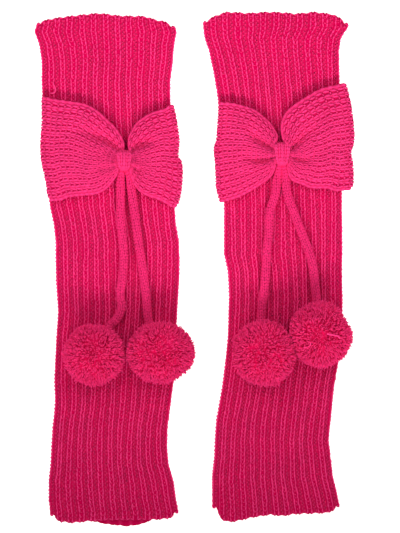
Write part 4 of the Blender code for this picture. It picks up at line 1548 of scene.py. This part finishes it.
# %% Table and lights
TABLE_SIZE = 14.0
TABLE_DROP = 0.3
TABLE_GLOW = 0.9
WHITE = (1.0, 1.0, 1.0, 1.0)
PANEL_PLACE = (0.0, 0.20, 0.50)
PANEL_SIZE = (0.90, 0.50)
PANEL_POWER = 2.60
SPOTS = (
    # x, power
    (-0.60, 30.0),
    (-0.25, 25.0),
    (0.25, 25.0),
    (0.60, 30.0),
)
SPOT_Y_AND_HEIGHT = (-1.0, 1.1)
SPOT_AIM = (0.05, 0.30)
SPOT_CONE = 34.0
SPOT_RADIUS = 0.20
SKY_STRENGTH = 0.20


def add_table():
    """A white table just under the pair, which glows a little so that it stays white in the shadows."""
    bm = bmesh.new()
    bmesh.ops.create_grid(bm, x_segments=4, y_segments=4, size=TABLE_SIZE / 2)
    bmesh.ops.translate(bm, verts=bm.verts, vec=(0, 0, -TABLE_DROP * MM))
    mesh = mesh_from(bm, "white_table")
    material = bpy.data.materials.new("white_table")
    material.use_nodes = True
    shader = material.node_tree.nodes["Principled BSDF"]
    shader.inputs["Base Color"].default_value = (0.9, 0.9, 0.9, 1.0)
    shader.inputs["Roughness"].default_value = 0.8
    shader.inputs["Emission Color"].default_value = WHITE
    shader.inputs["Emission Strength"].default_value = TABLE_GLOW
    mesh.materials.append(material)
    table = bpy.data.objects.new("white_table", mesh)
    bpy.context.scene.collection.objects.link(table)


def add_light(name, kind, place, power):
    """A light of a kind, at a place in metres."""
    data = bpy.data.lights.new(name, kind)
    data.energy = power
    light = bpy.data.objects.new(name, data)
    light.location = place
    bpy.context.scene.collection.objects.link(light)
    return light


def add_panel():
    """A large panel that faces straight down."""
    light = add_light("overhead_panel", "AREA", PANEL_PLACE, PANEL_POWER)
    light.data.shape = "RECTANGLE"
    light.data.size, light.data.size_y = PANEL_SIZE
    light.visible_camera = False


def add_spot(x, power):
    """A round soft light whose brightness fades from the middle of its cone to its rim."""
    place = Vector((x, *SPOT_Y_AND_HEIGHT))
    aim = Vector((math.copysign(SPOT_AIM[0], x), SPOT_AIM[1], 0.0))
    light = add_light(f"window_{x:+.2f}", "SPOT", place, power)
    light.data.spot_size = math.radians(SPOT_CONE)
    light.data.spot_blend = 1.0
    light.data.shadow_soft_size = SPOT_RADIUS
    light.rotation_euler = (aim - place).to_track_quat("-Z", "Y").to_euler()


add_table()
add_panel()
for x, power in SPOTS:
    add_spot(x, power)
world = bpy.data.worlds.new("pale_sky")
world.use_nodes = True
world.node_tree.nodes["Background"].inputs["Color"].default_value = WHITE
world.node_tree.nodes["Background"].inputs["Strength"].default_value = SKY_STRENGTH
bpy.context.scene.world = world

# %% [markdown]
# ## Triangles and the end
#
# The triangles of all the dressed pieces are counted. The looks may stand only a little proud of the
# CAD part.

# %% Count the triangles and finish
meshes = [item for item in bpy.data.objects if item.type == "MESH" and not item.hide_render]
dressed = [item.data for item in meshes if item.name.startswith(("left_", "right_"))]
faces = sum(len(polygon.vertices) - 2 for mesh in dressed for polygon in mesh.polygons)
print("triangles in all the pieces:", faces)
